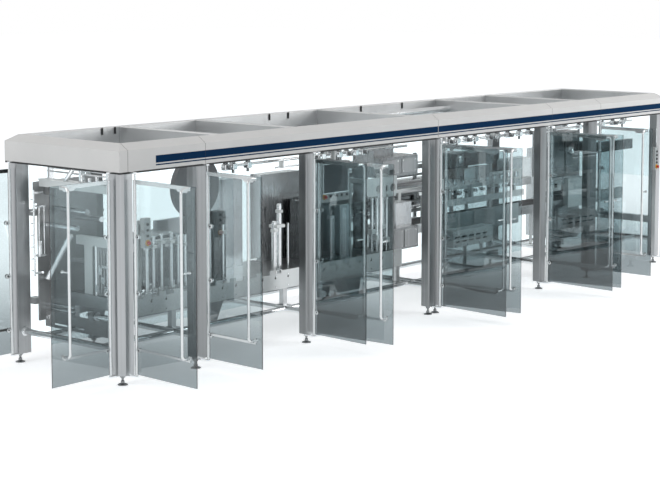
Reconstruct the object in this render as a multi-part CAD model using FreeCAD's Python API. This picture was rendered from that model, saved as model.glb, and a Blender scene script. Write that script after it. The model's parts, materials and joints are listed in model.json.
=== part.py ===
import FreeCAD, Part

# Flow wrap machine line: a steel frame with a ring canopy, hinged glass doors on the
# working side and the film end, fixed glass at the back, and the packing stations on
# one long bed inside.  Millimetres, +Z up.  X runs along the line from the film end,
# Y from the door side to the back; the origin is the underside of the front left foot.
import math
import os

V = FreeCAD.Vector
X_AXIS, Y_AXIS, Z_AXIS = V(1, 0, 0), V(0, 1, 0), V(0, 0, 1)

# driving dimensions
# bays between column centres, and the depth between front and rear columns
BAY_1 = 980.0
BAY_2 = 1650.0
BAY_3 = 2102.0
MODULE_GAP = 134.0
BAY_4 = 2115.0
BAY_5 = 1100.0
BAY_6 = 1641.0
DEPTH = 1545.0

# levelling feet
FOOT_HEIGHT = 100.0
FOOT_DISC_D = 100.0
FOOT_DISC_EDGE = 8.0
FOOT_CONE_HEIGHT = 14.0
FOOT_BALL_D = 38.0
FOOT_STEM_D = 30.0

# columns
CORNER_SIZE = 160.0
COLUMN_SIZE = 110.0
WIDE_COLUMN = 160.0
COLUMN_WALL = 4.0
COLUMN_END_PLATE = 8.0
CORNER_FOLD = 54.0
WIDE_FOLD = 26.0
COLUMN_FOLD = 14.0

# canopy ring
CANOPY_BOTTOM = 2060.0
FASCIA_HEIGHT = 203.0
CHAMFER_RISE = 63.0
CHAMFER_DEPTH = 98.0
CANOPY_OVERHANG = 86.0
RIM_WIDTH = 24.0
CANOPY_SHEET = 4.0
CANOPY_JOINT = 6.0
CROSS_BEAM_WIDTH = 30.0
CROSS_1_INSET = 385.0
CROSS_2_INSET = 140.0
CROSS_3_INSET = 222.0
CROSS_4_INSET = 185.0
CROSS_5_INSET = 195.0

# door leaves
HINGE_OUT = 147.0
HINGE_SIDE = 35.0
CORNER_HINGE_SIDE = 51.0
END_HINGE_OUT = 125.0
END_HINGE_SIDE = 30.0
LEAF_BOTTOM = 116.0
LEAF_TOP = 1990.0
GAP_BAY_2 = 60.0
GAP_BAY_3 = 140.0
GAP_BAY_4 = 110.0
GAP_BAY_6 = 30.0
END_LEAF_GAP = 20.0
GAP_BAY_1 = 100.0
GAP_BAY_5 = 142.0
MODULE_HINGE_SIDE = 40.0
LEAF_CLEAR = 24.0
GLASS_T = 10.0
STILE_D = 38.0
STILE_BOTTOM = 108.0
STILE_TOP = 1986.0
PIN_D = 16.0
PIN_CLEARANCE = 0.3
BRACKET_T = 12.0
BRACKET_W = 40.0
BRACKET_SEAT = 34.0
CLAMP_D = 30.0
CLAMP_REACH = 64.0
CLAMP_LOW = 356.0
CLAMP_MID = 905.0
CLAMP_HIGH = 1446.0
RAIL_T = 8.0
RAIL_H = 37.0
RAIL_DROP = 4.0
RAIL_PLATE_H = 58.0
RAIL_PLATE_L = 155.0
RAIL_PLATE_STEP = 18.0
RAIL_PLATE_END = 16.0
LOW_RAIL_Z = 352.0
LOW_RAIL_H = 24.0
HANDLE_D = 28.0
HANDLE_OUT = 108.0
HANDLE_BEND = 45.0
HANDLE_LOW = 390.0
HANDLE_HIGH = 1972.0
HANDLE_MID = 1190.0
HANDLE_INSET = 82.0
HANDLE_INSET_RIGHT = 130.0
ROSETTE_D = 44.0
STANDOFF_D = 28.0
ROSETTE_T = 6.0

# angle by which each leaf stands open, from closed
OPEN_END_FRONT = 91.4
OPEN_END_REAR = 90.0
OPEN_1 = 92.7
OPEN_2 = 91.5
OPEN_3 = 86.4
OPEN_4 = 87.0
OPEN_5 = 86.0
OPEN_6 = 82.4
OPEN_7 = 87.2
OPEN_8 = 81.8
OPEN_9 = 88.6
OPEN_10 = 88.0

# fixed guards
GUARD_T = 8.0
GUARD_CLEAR = 8.0
GUARD_CLAMP_D = 34.0
GUARD_CLAMP_REACH = 46.0
END_PANE_OUT = 38.0
END_CLAMP_LOW = 450.0
END_CLAMP_DROP = 190.0
DISCHARGE_LOW = 640.0
DISCHARGE_HIGH = 1180.0

# base tubes
CROSS_TUBE_D = 64.0
LONG_TUBE_D = 60.0
MID_TUBE_D = 56.0
TUBE_Z = 330.0
MID_TUBE_INSET = 1280.0

# machine bed
BED_FRONT = 300.0
BED_BACK = 1140.0
BED_LEFT = 360.0
BED_RIGHT = 4620.0
DECK_TOP = 720.0
BED_PLATE_T = 8.0
PLATE_LOW = 555.0
PLATE_STEP = 725.0
PLATE_TAB_TOP = 767.0
PLATE_TOP = 755.0
PLATE_TAB_X = 628.0
PLATE_TAB_W = 90.0
PLATE_PITCH = 200.0
PLATE_TABS = 10
PLATE_HOLES = 19
PLATE_HOLE_X = 670.0
PLATE_HOLE_Z = 681.0
PLATE_HOLE_D = 24.0
PLATE_SEAM_X = 1723.0
BED_BEAM_W = 60.0
BED_BEAM_H = 120.0
BED_DECK_T = 10.0
BED_LEG = 60.0
LEG_PLATE_T = 12.0

# film end
BACK_PANEL_Y = DEPTH - 165.0
BACK_PANEL_T = 12.0
BACK_PANEL_LEFT = 120.0
BACK_PANEL_RIGHT = 900.0
BACK_PANEL_LOW = 430.0
BACK_PANEL_HIGH = 1850.0
PANEL_BRACKET_L = 60.0
PANEL_BRACKET_H = 60.0
PANEL_BRACKET_LAP = 15.0
BRACKET_LOW_RISE = 170.0
BRACKET_HIGH_DROP = 350.0
UPPER_SHEET_LEFT = 60.0
UPPER_SHEET_RIGHT = 690.0
UPPER_SHEET_LOW = 1630.0
UPPER_SHEET_T = 10.0
LOWER_SHEET_TOP = 830.0
COVER_BOX_W = 220.0
COVER_BOX_D = 185.0
COVER_BOX_LOW = 1710.0
APRON_X = 200.0
APRON_T = 8.0
APRON_FRONT = 100.0
APRON_LOW = 364.0
APRON_TOP = 520.0
APRON_SLOT_Y0 = 800.0
APRON_SLOT_Y1 = 1240.0
APRON_SLOT_Z = 402.0
APRON_SLOT_H = 20.0
GUIDE_ROLLERS = ((200.0, 1410.0), (330.0, 1560.0), (520.0, 1470.0), (520.0, 1010.0))
GUIDE_ROLLER_D = 60.0
ROLLER_SHAFT_D = 24.0
GUIDE_ROLLER_L = 480.0
ROLLER_GAP = 30.0
TURN_BAR_X = 180.0
TURN_BAR_Y = BACK_PANEL_Y - 90.0
TURN_BAR_LOW = 868.0
TURN_BAR_HIGH = 1330.0
TURN_BAR_RUN_X = 40.0
TURN_BAR_RUN_Y = 290.0
TURN_BAR_D = 56.0
TURN_SHAFT_D = 34.0
SIDE_ROD_LEVELS = (560.0, 604.0)
SIDE_ROD_L = 440.0
SIDE_ROD_D = 22.0
UPRIGHT_X = 30.0
UPRIGHT_Y = BACK_PANEL_Y - 50.0
UPRIGHT_LOW = 900.0
UPRIGHT_HIGH = 1775.0
UPRIGHT_D = 20.0
UPRIGHT_ARM = 30.0
UPRIGHT_BAR = 10.0
UPRIGHT_PINS = (960.0, 1080.0, 1200.0, 1320.0, 1440.0, 1560.0, 1680.0)
UPRIGHT_PIN_L = 40.0
UPRIGHT_PIN_D = 12.0
REEL_D = 660.0
REEL_CORE_D = 150.0
REEL_W = 65.0
REEL_X = 1736.0
REEL_Y = 735.0
REEL_Z = 1700.0
REEL_FLANGE_D = 240.0
REEL_FLANGE_T = 12.0
REEL_HUB_T = 30.0
REEL_STAND_GAP = 60.0
REEL_POST = 100.0
REEL_POST_D = 80.0
REEL_POST_RISE = 60.0
MANDREL_D = 60.0

# forming and sealing stations
PORTAL_X = 400.0
PORTAL_T = 14.0
PORTAL_DEEP = 60.0
PORTAL_TOP = 1300.0
PORTAL_BEAM = 90.0
PORTAL_FRONT = 640.0
PORTAL_BACK = 1130.0
PORTAL_LEG = 120.0
PORTAL_LEG_Y = 885.0
PORTAL_COLUMN_Y = 845.0
PORTAL_COLUMN_D = 58.0
POST_Y = 450.0
GUIDE_POSTS = ((753.0, 40.0, 1288.0), (838.0, 40.0, 1288.0), (950.0, 34.0, 1300.0), (1084.0, 40.0, 1310.0),
               (1179.0, 34.0, 1270.0), (1278.0, 40.0, 1265.0), (1614.0, 20.0, 1335.0), (1646.0, 20.0, 1335.0),
               (1831.0, 36.0, 1305.0), (2612.0, 58.0, 1258.0), (2690.0, 52.0, 1440.0), (2831.0, 22.0, 1229.0))
FORM_BOX_X = 620.0
FORM_BOX_L = 730.0
FORM_BOX_Y = 600.0
FORM_BOX_D = 400.0
FORM_BOX_TOP = 1270.0
FEED_BOX_X = 1831.0
FEED_BOX_L = 194.0
FEED_BOX_D = 120.0
FEED_BOX_TOP = 1430.0
FORM_CABINET_X = 3400.0
FORM_CABINET_L = 560.0
FORM_CABINET_Y = 520.0
FORM_CABINET_D = 420.0
FORM_CABINET_TOP = 1385.0
SIDE_PANEL_X = 1480.0
SIDE_PANEL_L = 440.0
SIDE_PANEL_D = 60.0
SIDE_PANEL_TOP = 1335.0
BRUSHED_X = 2330.0
BRUSHED_L = 360.0
BRUSHED_TOP = 1700.0
MAIN_CABINET_X = 2980.0
MAIN_CABINET_L = 640.0
MAIN_CABINET_Y = 1000.0
MAIN_CABINET_D = 160.0
MAIN_CABINET_TOP = 1700.0
SEAL_HOUSING_X = 4490.0
SEAL_HOUSING_L = 560.0
SEAL_HOUSING_Y = 400.0
SEAL_HOUSING_D = 300.0
SEAL_HOUSING_TOP = 976.0
HOOD_X = 4755.0
HOOD_L = 290.0
HOOD_STEP = 100.0
HOOD_TOP = 1250.0
SEAL_POST_X = 4480.0
SEAL_POST_W = 120.0
SEAL_HEAD_X = 4460.0
SEAL_HEAD_L = 700.0
SEAL_HEAD_Y = 500.0
SEAL_HEAD_BACK = 920.0
SEAL_HEAD_LOW = 1570.0
SEAL_HEAD_TOP = 1800.0
SEAL_TOWER_L = 366.0
SEAL_TOWER_Y = 600.0
SEAL_TOWER_TOP = 1950.0
SEAL_BRACKET_X = 3852.0
SEAL_BRACKET_L = 551.0
SEAL_BRACKET_Y = 200.0
SEAL_BRACKET_LOW = 1430.0
SEAL_BRACKET_H = 205.0
SEAL_BRACKET_T = 16.0
SEAL_SLOPE = 45.0
SEAL_HOLE_X = (4081.0, 4335.0)
SEAL_HOLE_Z = 1502.0
SEAL_HOLE_D = 94.0
SEAL_SLOT_X = 4205.0
SEAL_SLOT_W = 36.0
SEAL_SLOT_H = 72.0
SEAL_ARM_INSET = 10.0
SEAL_ARM_W = 30.0
SEAL_ARM_H = 50.0
SEAL_LEG_Y = 440.0
CHUTES = ((1500.0, 1740.0, 1500.0, 1620.0, 345.0), (3480.0, 3960.0, 3580.0, 3910.0, 375.0))
CHUTE_D = 230.0
CHUTE_T = 6.0
CHUTE_CLEAR = 5.0

# operator stations
HMI_X = 2875.0
HMI_W = 468.0
HMI_H = 430.0
HMI_T = 70.0
HMI_BOTTOM = 1480.0
HMI_TUBE_D = 48.0
BUTTON_BOX_X = 490.0
BUTTON_BOX_W = 85.0
BUTTON_BOX_H = 295.0
BUTTON_BOX_D = 60.0
BUTTON_BOX_Y = 200.0
BUTTON_BOX_Z = 1245.0
BUTTON_POST = 34.0
BUTTON_STRIP_W = 70.0
BUTTON_STRIP_H = 305.0
BUTTON_STRIP_D = 65.0
BUTTON_STRIP_Y = -85.0
BUTTON_STRIP_Z = 1290.0

# transfer and outfeed side
CONVEYOR_LEFT = 5080.0
CONVEYOR_RIGHT = 9740.0
CONVEYOR_FRONT = 520.0
CONVEYOR_W = 380.0
CONVEYOR_TOP = 960.0
CONVEYOR_SIDE_T = 12.0
CONVEYOR_SIDE_H = 110.0
CONVEYOR_DRUM_D = 84.0
CONVEYOR_LEG = 60.0
BELT_T = 4.0
UPPER_RAIL_Z = 1300.0
UPPER_RAIL_H = 36.0
UPPER_RAIL_INSET = 350.0
RAIL_BAR = 20.0
RAIL_POST = 50.0
COVER_X = 5600.0
COVER_L = 1500.0
COVER_Y = 400.0
COVER_LOW = 790.0
COVER_TOP = 1045.0
DRIVE_BOX_X = 5520.0
DRIVE_BOX_L = 800.0
DRIVE_BOX_Y = 230.0
DRIVE_BOX_H = 200.0
DRIVE_BOX_TOP = 860.0
GUARD_DRUM_X = 8180.0
GUARD_DRUM_D = 360.0
GUARD_DRUM_Y = 330.0
GUARD_DRUM_TOP = 760.0
GUARD_DRUM_H = 260.0
GUARD_ARM = 120.0
GUARD_ARM_H = 60.0
END_CABINET_X = 8690.0
END_CABINET_L = 720.0
END_CABINET_Y = 1000.0
END_CABINET_D = 400.0
END_CABINET_TOP = 1560.0
HEAD_X = 8250.0
HEAD_L = 690.0
HEAD_Y = 700.0
HEAD_LOW = 1230.0
HEAD_TOP = 1830.0
HEAD_BAR_X = 8790.0
HEAD_BAR_RIGHT = 9640.0
HEAD_BAR_Y = 300.0
HEAD_BAR_D = 60.0
HEAD_BAR_LOW = 1560.0
HEAD_BAR_TOP = 1690.0
HEAD_ARM = 110.0
END_BEAM_W = 34.0
END_BEAM_H = 90.0
END_BEAM_LOW = 550.0
PIPE_D = 86.0
PIPE_Z = 2210.0
PIPE_Y = 1300.0

# places worked out from them
COL_1 = 0.0
COL_2 = COL_1 + BAY_1
COL_3 = COL_2 + BAY_2
COL_4 = COL_3 + BAY_3
COL_5 = COL_4 + MODULE_GAP
COL_6 = COL_5 + BAY_4
COL_7 = COL_6 + BAY_5
COL_8 = COL_7 + BAY_6
COLUMN_LINES = [COL_1, COL_2, COL_3, COL_4, COL_5, COL_6, COL_7, COL_8]
# each column line: centre, width to its left and right, half depth, fold of the outward edge
HALF_COLUMN, HALF_CORNER = COLUMN_SIZE / 2.0, CORNER_SIZE / 2.0
COLUMN_PLAN = [(COL_1, HALF_CORNER, HALF_CORNER, HALF_CORNER, CORNER_FOLD)]
for x in COLUMN_LINES[1:]:
    wide = x in (COL_2, COL_7)
    COLUMN_PLAN.append((x, HALF_COLUMN, WIDE_COLUMN - HALF_COLUMN if wide else HALF_COLUMN, HALF_COLUMN,
                        WIDE_FOLD if wide else COLUMN_FOLD))
CANOPY_BREAK = CANOPY_BOTTOM + FASCIA_HEIGHT
CANOPY_TOP = CANOPY_BREAK + CHAMFER_RISE
GIRDER_WIDTH = CHAMFER_DEPTH + RIM_WIDTH
MODULE_JOINT = (COL_4 + COL_5) / 2.0
MID_TUBE_X = COL_5 + MID_TUBE_INSET


# small helpers
def box(x0, x1, y0, y1, z0, z1):
    """Block between two corners."""
    return Part.makeBox(x1 - x0, y1 - y0, z1 - z0, V(x0, y0, z0))


def rod(start, end, diameter):
    """Round bar between two points."""
    run = V(*end) - V(*start)
    return Part.makeCylinder(diameter / 2.0, run.Length, V(*start), run)


def prism_x(outline, x0, x1):
    """Extrude a (y, z) outline along X."""
    points = [V(x0, y, z) for y, z in outline]
    face = Part.Face(Part.makePolygon(points + points[:1]))
    return face.extrude(V(x1 - x0, 0, 0))


def prism_y(outline, y0, y1):
    """Extrude an (x, z) outline along Y."""
    points = [V(x, y0, z) for x, z in outline]
    face = Part.Face(Part.makePolygon(points + points[:1]))
    return face.extrude(V(0, y1 - y0, 0))


def prism_z(outline, z0, z1):
    """Extrude an (x, y) outline upwards."""
    points = [V(x, y, z0) for x, y in outline]
    face = Part.Face(Part.makePolygon(points + points[:1]))
    return face.extrude(V(0, 0, z1 - z0))


def fuse(solids):
    """One solid out of touching ones."""
    joined = solids[0]
    if len(solids) > 1:
        joined = solids[0].multiFuse(solids[1:])
    return joined.removeSplitter()


def cut(body, tools):
    """Body with every tool taken out."""
    for tool in tools:
        body = body.cut(tool)
    return body


NODES = {}


def add(name, shapes):
    """Keep a node made of one or more separate solids."""
    solids = []
    for shape in shapes if isinstance(shapes, (list, tuple)) else [shapes]:
        solids += shape.Solids
    NODES[name] = Part.makeCompound(solids)


# levelling feet: turned discs with a ball neck and a stem up to the column
def levelling_foot(x, y):
    disc, ball, stem = FOOT_DISC_D / 2.0, FOOT_BALL_D / 2.0, FOOT_STEM_D / 2.0
    neck = FOOT_DISC_EDGE + FOOT_CONE_HEIGHT
    outline = [(0, 0), (disc, 0), (disc, FOOT_DISC_EDGE), (ball, neck), (ball, neck + ball),
               (stem * 0.7, neck + ball + 6), (stem, FOOT_HEIGHT - 26), (stem, FOOT_HEIGHT), (0, FOOT_HEIGHT)]
    points = [V(x + r, y, z) for r, z in outline]
    face = Part.Face(Part.makePolygon(points + points[:1]))
    return face.revolve(V(x, y, 0), Z_AXIS, 360)


add("levelling_feet", [levelling_foot(x, y) for y in (0, DEPTH) for x in COLUMN_LINES])


# columns: folded stainless box sections on a foot plate
def column(place, y, edge_x, edge_y):
    """Box column whose outward edge (edge_x, edge_y = -1 or 1) is folded off at 45 degrees."""
    x, left, right, half, fold = place
    x0, x1 = x - left, x + right
    shell = box(x0, x1, y - half, y + half, FOOT_HEIGHT, CANOPY_BOTTOM)
    corner_x = x0 if edge_x < 0 else x1
    edge = [e for e in shell.Edges if abs(e.CenterOfMass.x - corner_x) < 0.01
            and abs(e.CenterOfMass.y - y - edge_y * half) < 0.01]
    shell = shell.makeChamfer(fold, edge)
    wall = COLUMN_WALL + fold / 2.0
    hollow = box(x0 + wall, x1 - wall, y - half + wall, y + half - wall,
                 FOOT_HEIGHT + COLUMN_END_PLATE, CANOPY_BOTTOM)
    return shell.cut(hollow)


sides = ((0, -1), (DEPTH, 1))
add("corner_columns", [column(COLUMN_PLAN[0], y, -1, sy) for y, sy in sides]
    + [column(COLUMN_PLAN[-1], y, 1, sy) for y, sy in sides])
add("inner_columns", [column(place, y, -1, sy) for place in COLUMN_PLAN[1:-1] for y, sy in sides])

# canopy: a ring of folded box girders with a sloped top edge
RING_X0, RING_X1 = COL_1 - CANOPY_OVERHANG, COL_8 + CANOPY_OVERHANG
RING_Y0, RING_Y1 = -CANOPY_OVERHANG, DEPTH + CANOPY_OVERHANG


def girder_outline(wall):
    """Girder section as (outward distance, z); outward is measured from the inner wall."""
    w, c = GIRDER_WIDTH, CHAMFER_DEPTH
    return [(wall, CANOPY_BOTTOM + wall), (w - wall, CANOPY_BOTTOM + wall),
            (w - wall, CANOPY_BREAK - wall * 0.5), (w - c, CANOPY_TOP - wall), (wall, CANOPY_TOP - wall)]


def side_girder(y_in, out, x0, x1):
    """Girder along X; out is the outward direction, -1 to the front and 1 to the back."""
    shell = prism_x([(y_in + out * d, z) for d, z in girder_outline(0)], x0, x1)
    hollow = prism_x([(y_in + out * d, z) for d, z in girder_outline(CANOPY_SHEET)], x0, x1)
    return shell.cut(hollow)


def end_girder(x_in, out):
    """Girder along Y at one end of the ring."""
    shell = prism_y([(x_in + out * d, z) for d, z in girder_outline(0)], RING_Y0, RING_Y1)
    hollow = prism_y([(x_in + out * d, z) for d, z in girder_outline(CANOPY_SHEET)], RING_Y0, RING_Y1)
    return shell.cut(hollow)


def mitre(x_corner, y_corner, toward_x, toward_y, keep_side):
    """Wedge under the 45 degree line from a ring corner inwards."""
    reach = GIRDER_WIDTH + 60
    tip = (x_corner + toward_x * reach, y_corner + toward_y * reach)
    back = (x_corner - toward_x * 20, y_corner - toward_y * 20)
    if keep_side == "end":
        third = (x_corner - toward_x * 20, y_corner + toward_y * reach)
    else:
        third = (x_corner + toward_x * reach, y_corner - toward_y * 20)
    return prism_z([back, tip, third], CANOPY_BOTTOM - 10, CANOPY_TOP + 10)


def ring_side(y_corner, toward_y):
    y_in = y_corner + toward_y * GIRDER_WIDTH
    left = side_girder(y_in, -toward_y, RING_X0, MODULE_JOINT - CANOPY_JOINT / 2.0)
    right = side_girder(y_in, -toward_y, MODULE_JOINT + CANOPY_JOINT / 2.0, RING_X1)
    return [left.cut(mitre(RING_X0, y_corner, 1, toward_y, "end")),
            right.cut(mitre(RING_X1, y_corner, -1, toward_y, "end"))]


def ring_end(x_corner, toward_x):
    whole = end_girder(x_corner + toward_x * GIRDER_WIDTH, -toward_x)
    return whole.cut(mitre(x_corner, RING_Y0, toward_x, 1, "side")).cut(
        mitre(x_corner, RING_Y1, toward_x, -1, "side"))


add("canopy_front", ring_side(RING_Y0, 1))
add("canopy_rear", ring_side(RING_Y1, -1))
add("canopy_ends", [ring_end(RING_X0, 1), ring_end(RING_X1, -1)])

CROSS_BEAMS = [COL_2 + CROSS_1_INSET, COL_3 - CROSS_2_INSET, COL_4 - CROSS_3_INSET,
               COL_6 - CROSS_4_INSET, COL_7 - CROSS_5_INSET]
add("canopy_cross_beams", [box(x - CROSS_BEAM_WIDTH / 2.0, x + CROSS_BEAM_WIDTH / 2.0,
                               RING_Y0 + GIRDER_WIDTH, RING_Y1 - GIRDER_WIDTH, CANOPY_BOTTOM, CANOPY_TOP)
                           for x in CROSS_BEAMS])

# module tie: the two canopy halves meet on a spacer strip behind the black joint
add("canopy_joint_strips", [prism_x([(y_in + out * d, z) for d, z in girder_outline(CANOPY_SHEET)],
                                    MODULE_JOINT - CANOPY_JOINT / 2.0, MODULE_JOINT + CANOPY_JOINT / 2.0)
                            for y_in, out in ((RING_Y0 + GIRDER_WIDTH, -1), (RING_Y1 - GIRDER_WIDTH, 1))])


# door leaves: a leaf is drawn with its hinge axis on Z, running towards +X when closed, its outer
# face towards -Y.  Right-hand leaves are the mirror of it.
def handle_tube(x):
    """C-shaped bent tube standing off the outer face."""
    y_face, y_bar, bend = -GLASS_T / 2.0, -HANDLE_OUT, HANDLE_BEND
    corner_out = bend * (1 - math.sqrt(0.5))
    low, high = HANDLE_LOW, HANDLE_HIGH
    path = [Part.makeLine(V(x, y_face, low), V(x, y_bar + bend, low)),
            Part.Arc(V(x, y_bar + bend, low), V(x, y_bar + corner_out, low + corner_out),
                     V(x, y_bar, low + bend)).toShape(),
            Part.makeLine(V(x, y_bar, low + bend), V(x, y_bar, high - bend)),
            Part.Arc(V(x, y_bar, high - bend), V(x, y_bar + corner_out, high - corner_out),
                     V(x, y_bar + bend, high)).toShape(),
            Part.makeLine(V(x, y_bar + bend, high), V(x, y_face, high))]
    ring = Part.Wire(Part.makeCircle(HANDLE_D / 2.0, V(x, y_face, low), V(0, -1, 0)))
    return Part.Wire(path).makePipeShell([ring], True, True)


def leaf(length, handle_inset):
    """Glass and metalwork of one leaf, both with the hinge axis at the origin."""
    face, half = GLASS_T / 2.0, STILE_D / 2.0
    glass = box(LEAF_CLEAR, length, -face, face, LEAF_BOTTOM, LEAF_TOP)
    x_handle = length - handle_inset
    metal = [rod((0, 0, STILE_BOTTOM), (0, 0, STILE_TOP), STILE_D),
             rod((0, 0, FOOT_HEIGHT - BRACKET_T + 1), (0, 0, STILE_BOTTOM), PIN_D),
             rod((0, 0, STILE_TOP), (0, 0, CANOPY_BOTTOM - 1), PIN_D)]
    metal += [rod((half - 4, 0, z), (CLAMP_REACH, 0, z), CLAMP_D) for z in (CLAMP_LOW, CLAMP_MID, CLAMP_HIGH)]
    rail_top = LEAF_TOP - RAIL_DROP
    plate_end = x_handle - RAIL_PLATE_END
    plate_start = plate_end - RAIL_PLATE_L
    metal.append(box(0, x_handle + HANDLE_D / 2.0, -face - RAIL_T, -face, rail_top - RAIL_H, rail_top))
    plate_low = rail_top - RAIL_PLATE_H
    metal.append(prism_y([(plate_start, rail_top - RAIL_H), (plate_start + RAIL_PLATE_STEP, plate_low),
                          (plate_end - RAIL_PLATE_STEP, plate_low), (plate_end, rail_top - RAIL_H)],
                         -face - RAIL_T, -face))
    metal.append(box(0, x_handle, -face - RAIL_T, -face, LOW_RAIL_Z, LOW_RAIL_Z + LOW_RAIL_H))
    metal.append(rod((x_handle, -face, HANDLE_MID), (x_handle, -HANDLE_OUT, HANDLE_MID), PIN_D))
    metal += [rod((x_handle, -face, z), (x_handle, -face - RAIL_T - ROSETTE_T, z), diameter)
              for z, diameter in ((HANDLE_LOW, ROSETTE_D), (HANDLE_MID, STANDOFF_D))]
    metal.append(handle_tube(x_handle))
    slab = box(LEAF_CLEAR, length + 10, -face, face, LEAF_BOTTOM, LEAF_TOP)
    return glass, fuse(metal).cut(slab)


LEAVES = {}


def hang_leaf(name, hinge, width, hand, base_turn, open_angle):
    """Place one leaf: hand 1 hinges at its left, -1 at its right, seen from outside."""
    inset = HANDLE_INSET if hand > 0 else HANDLE_INSET_RIGHT
    placed = []
    for shape in leaf(width, inset):
        if hand < 0:
            shape = shape.mirror(V(0, 0, 0), X_AXIS)
        shape.rotate(V(0, 0, 0), Z_AXIS, base_turn - hand * open_angle)
        shape.translate(V(hinge[0], hinge[1], 0))
        placed.append(shape)
    add(name + "_glass", placed[0])
    add(name + "_metalwork", placed[1])
    LEAVES[name] = hinge


def pair_width(hinge_left, hinge_right, gap):
    """Two leaves meet in the middle with a gap."""
    return (hinge_right - hinge_left - gap) / 2.0


H1 = COL_1 + CORNER_HINGE_SIDE
H2, H3 = COL_2 + HINGE_SIDE, COL_3 - HINGE_SIDE
H4, H5 = COL_3 + HINGE_SIDE, COL_4 + MODULE_HINGE_SIDE
H6, H7 = COL_5, COL_6 - HINGE_SIDE
H8 = COL_6 + HINGE_SIDE
H9, H10 = COL_7 + HINGE_SIDE, COL_8 - HINGE_SIDE
END_FRONT, END_REAR = END_HINGE_SIDE, DEPTH - END_HINGE_SIDE
WIDTH_1 = H2 - H1 - GAP_BAY_1
WIDTH_2 = pair_width(H2, H3, GAP_BAY_2)
WIDTH_3 = pair_width(H4, H5, GAP_BAY_3)
WIDTH_4 = pair_width(H6, H7, GAP_BAY_4)
WIDTH_5 = H9 - H8 - GAP_BAY_5
WIDTH_6 = pair_width(H9, H10, GAP_BAY_6)
END_WIDTH = pair_width(END_FRONT, END_REAR, END_LEAF_GAP)

hang_leaf("door_1", (H1, -HINGE_OUT), WIDTH_1, 1, 0, OPEN_1)
hang_leaf("door_2", (H2, -HINGE_OUT), WIDTH_2, 1, 0, OPEN_2)
hang_leaf("door_3", (H3, -HINGE_OUT), WIDTH_2, -1, 0, OPEN_3)
hang_leaf("door_4", (H4, -HINGE_OUT), WIDTH_3, 1, 0, OPEN_4)
hang_leaf("door_5", (H5, -HINGE_OUT), WIDTH_3, -1, 0, OPEN_5)
hang_leaf("door_6", (H6, -HINGE_OUT), WIDTH_4, 1, 0, OPEN_6)
hang_leaf("door_7", (H7, -HINGE_OUT), WIDTH_4, -1, 0, OPEN_7)
hang_leaf("door_8", (H8, -HINGE_OUT), WIDTH_5, 1, 0, OPEN_8)
hang_leaf("door_9", (H9, -HINGE_OUT), WIDTH_6, 1, 0, OPEN_9)
hang_leaf("door_10", (H10, -HINGE_OUT), WIDTH_6, -1, 0, OPEN_10)
hang_leaf("end_door_front", (-END_HINGE_OUT, END_FRONT), END_WIDTH, -1, -90, OPEN_END_FRONT)
hang_leaf("end_door_rear", (-END_HINGE_OUT, END_REAR), END_WIDTH, 1, -90, OPEN_END_REAR)


# hinge brackets: a plate under the canopy and one under the column per leaf
def hinge_plates(hinge, column_half, along):
    """Both plates; along is "y" for the front doors and "x" for the film end."""
    hx, hy = hinge
    w = BRACKET_W / 2.0
    plates = []
    for z0, z1, seat in ((FOOT_HEIGHT - BRACKET_T, FOOT_HEIGHT, -column_half + BRACKET_SEAT),
                         (CANOPY_BOTTOM - BRACKET_T, CANOPY_BOTTOM, -column_half)):
        if along == "y":
            plate = box(hx - w, hx + w, hy, seat, z0, z1)
        else:
            plate = box(hx, seat, hy - w, hy + w, z0, z1)
        plate = fuse([plate, Part.makeCylinder(w, z1 - z0, V(hx, hy, z0))])
        bore = Part.makeCylinder(PIN_D / 2.0 + PIN_CLEARANCE, z1 - z0 + 2, V(hx, hy, z0 - 1))
        plates.append(plate.cut(bore))
    return plates


brackets = []
for name, hinge in LEAVES.items():
    at_corner = name == "door_1" or name.startswith("end")
    half = (CORNER_SIZE if at_corner else COLUMN_SIZE) / 2.0
    brackets += hinge_plates(hinge, half, "x" if name.startswith("end") else "y")
add("hinge_brackets", brackets)

# fixed guards: frameless panes held to the columns by round clamps
panes, clamps = [], []


def rear_pane(x0, x1):
    pane = box(x0 + GUARD_CLEAR, x1 - GUARD_CLEAR, DEPTH - GUARD_T / 2.0, DEPTH + GUARD_T / 2.0,
               LEAF_BOTTOM, LEAF_TOP)
    panes.append(pane)
    for z in (CLAMP_LOW, CLAMP_MID, CLAMP_HIGH):
        for xa, xb in ((x0, x0 + GUARD_CLAMP_REACH), (x1 - GUARD_CLAMP_REACH, x1)):
            clamps.append(rod((xa, DEPTH, z), (xb, DEPTH, z), GUARD_CLAMP_D).cut(pane))


for this, following in zip(COLUMN_PLAN[:-1], COLUMN_PLAN[1:]):
    pane_left, pane_right = this[0] + this[2], following[0] - following[1]
    if pane_right - pane_left > COLUMN_SIZE:
        rear_pane(pane_left, pane_right)

END_Y0, END_Y1 = COLUMN_SIZE / 2.0, DEPTH - COLUMN_SIZE / 2.0
END_PANE_X = COL_8 + END_PANE_OUT
for z0, z1, levels in ((LEAF_BOTTOM, DISCHARGE_LOW, (END_CLAMP_LOW,)),
                       (DISCHARGE_HIGH, LEAF_TOP, (CLAMP_HIGH, LEAF_TOP - END_CLAMP_DROP))):
    pane = box(END_PANE_X - GUARD_T / 2.0, END_PANE_X + GUARD_T / 2.0,
               END_Y0 + GUARD_CLEAR, END_Y1 - GUARD_CLEAR, z0, z1)
    panes.append(pane)
    for z in levels:
        for ya, yb in ((END_Y0, END_Y0 + GUARD_CLAMP_REACH), (END_Y1 - GUARD_CLAMP_REACH, END_Y1)):
            clamps.append(rod((END_PANE_X, ya, z), (END_PANE_X, yb, z), GUARD_CLAMP_D).cut(pane))
add("guard_panes", panes)
add("guard_clamps", clamps)

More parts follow.
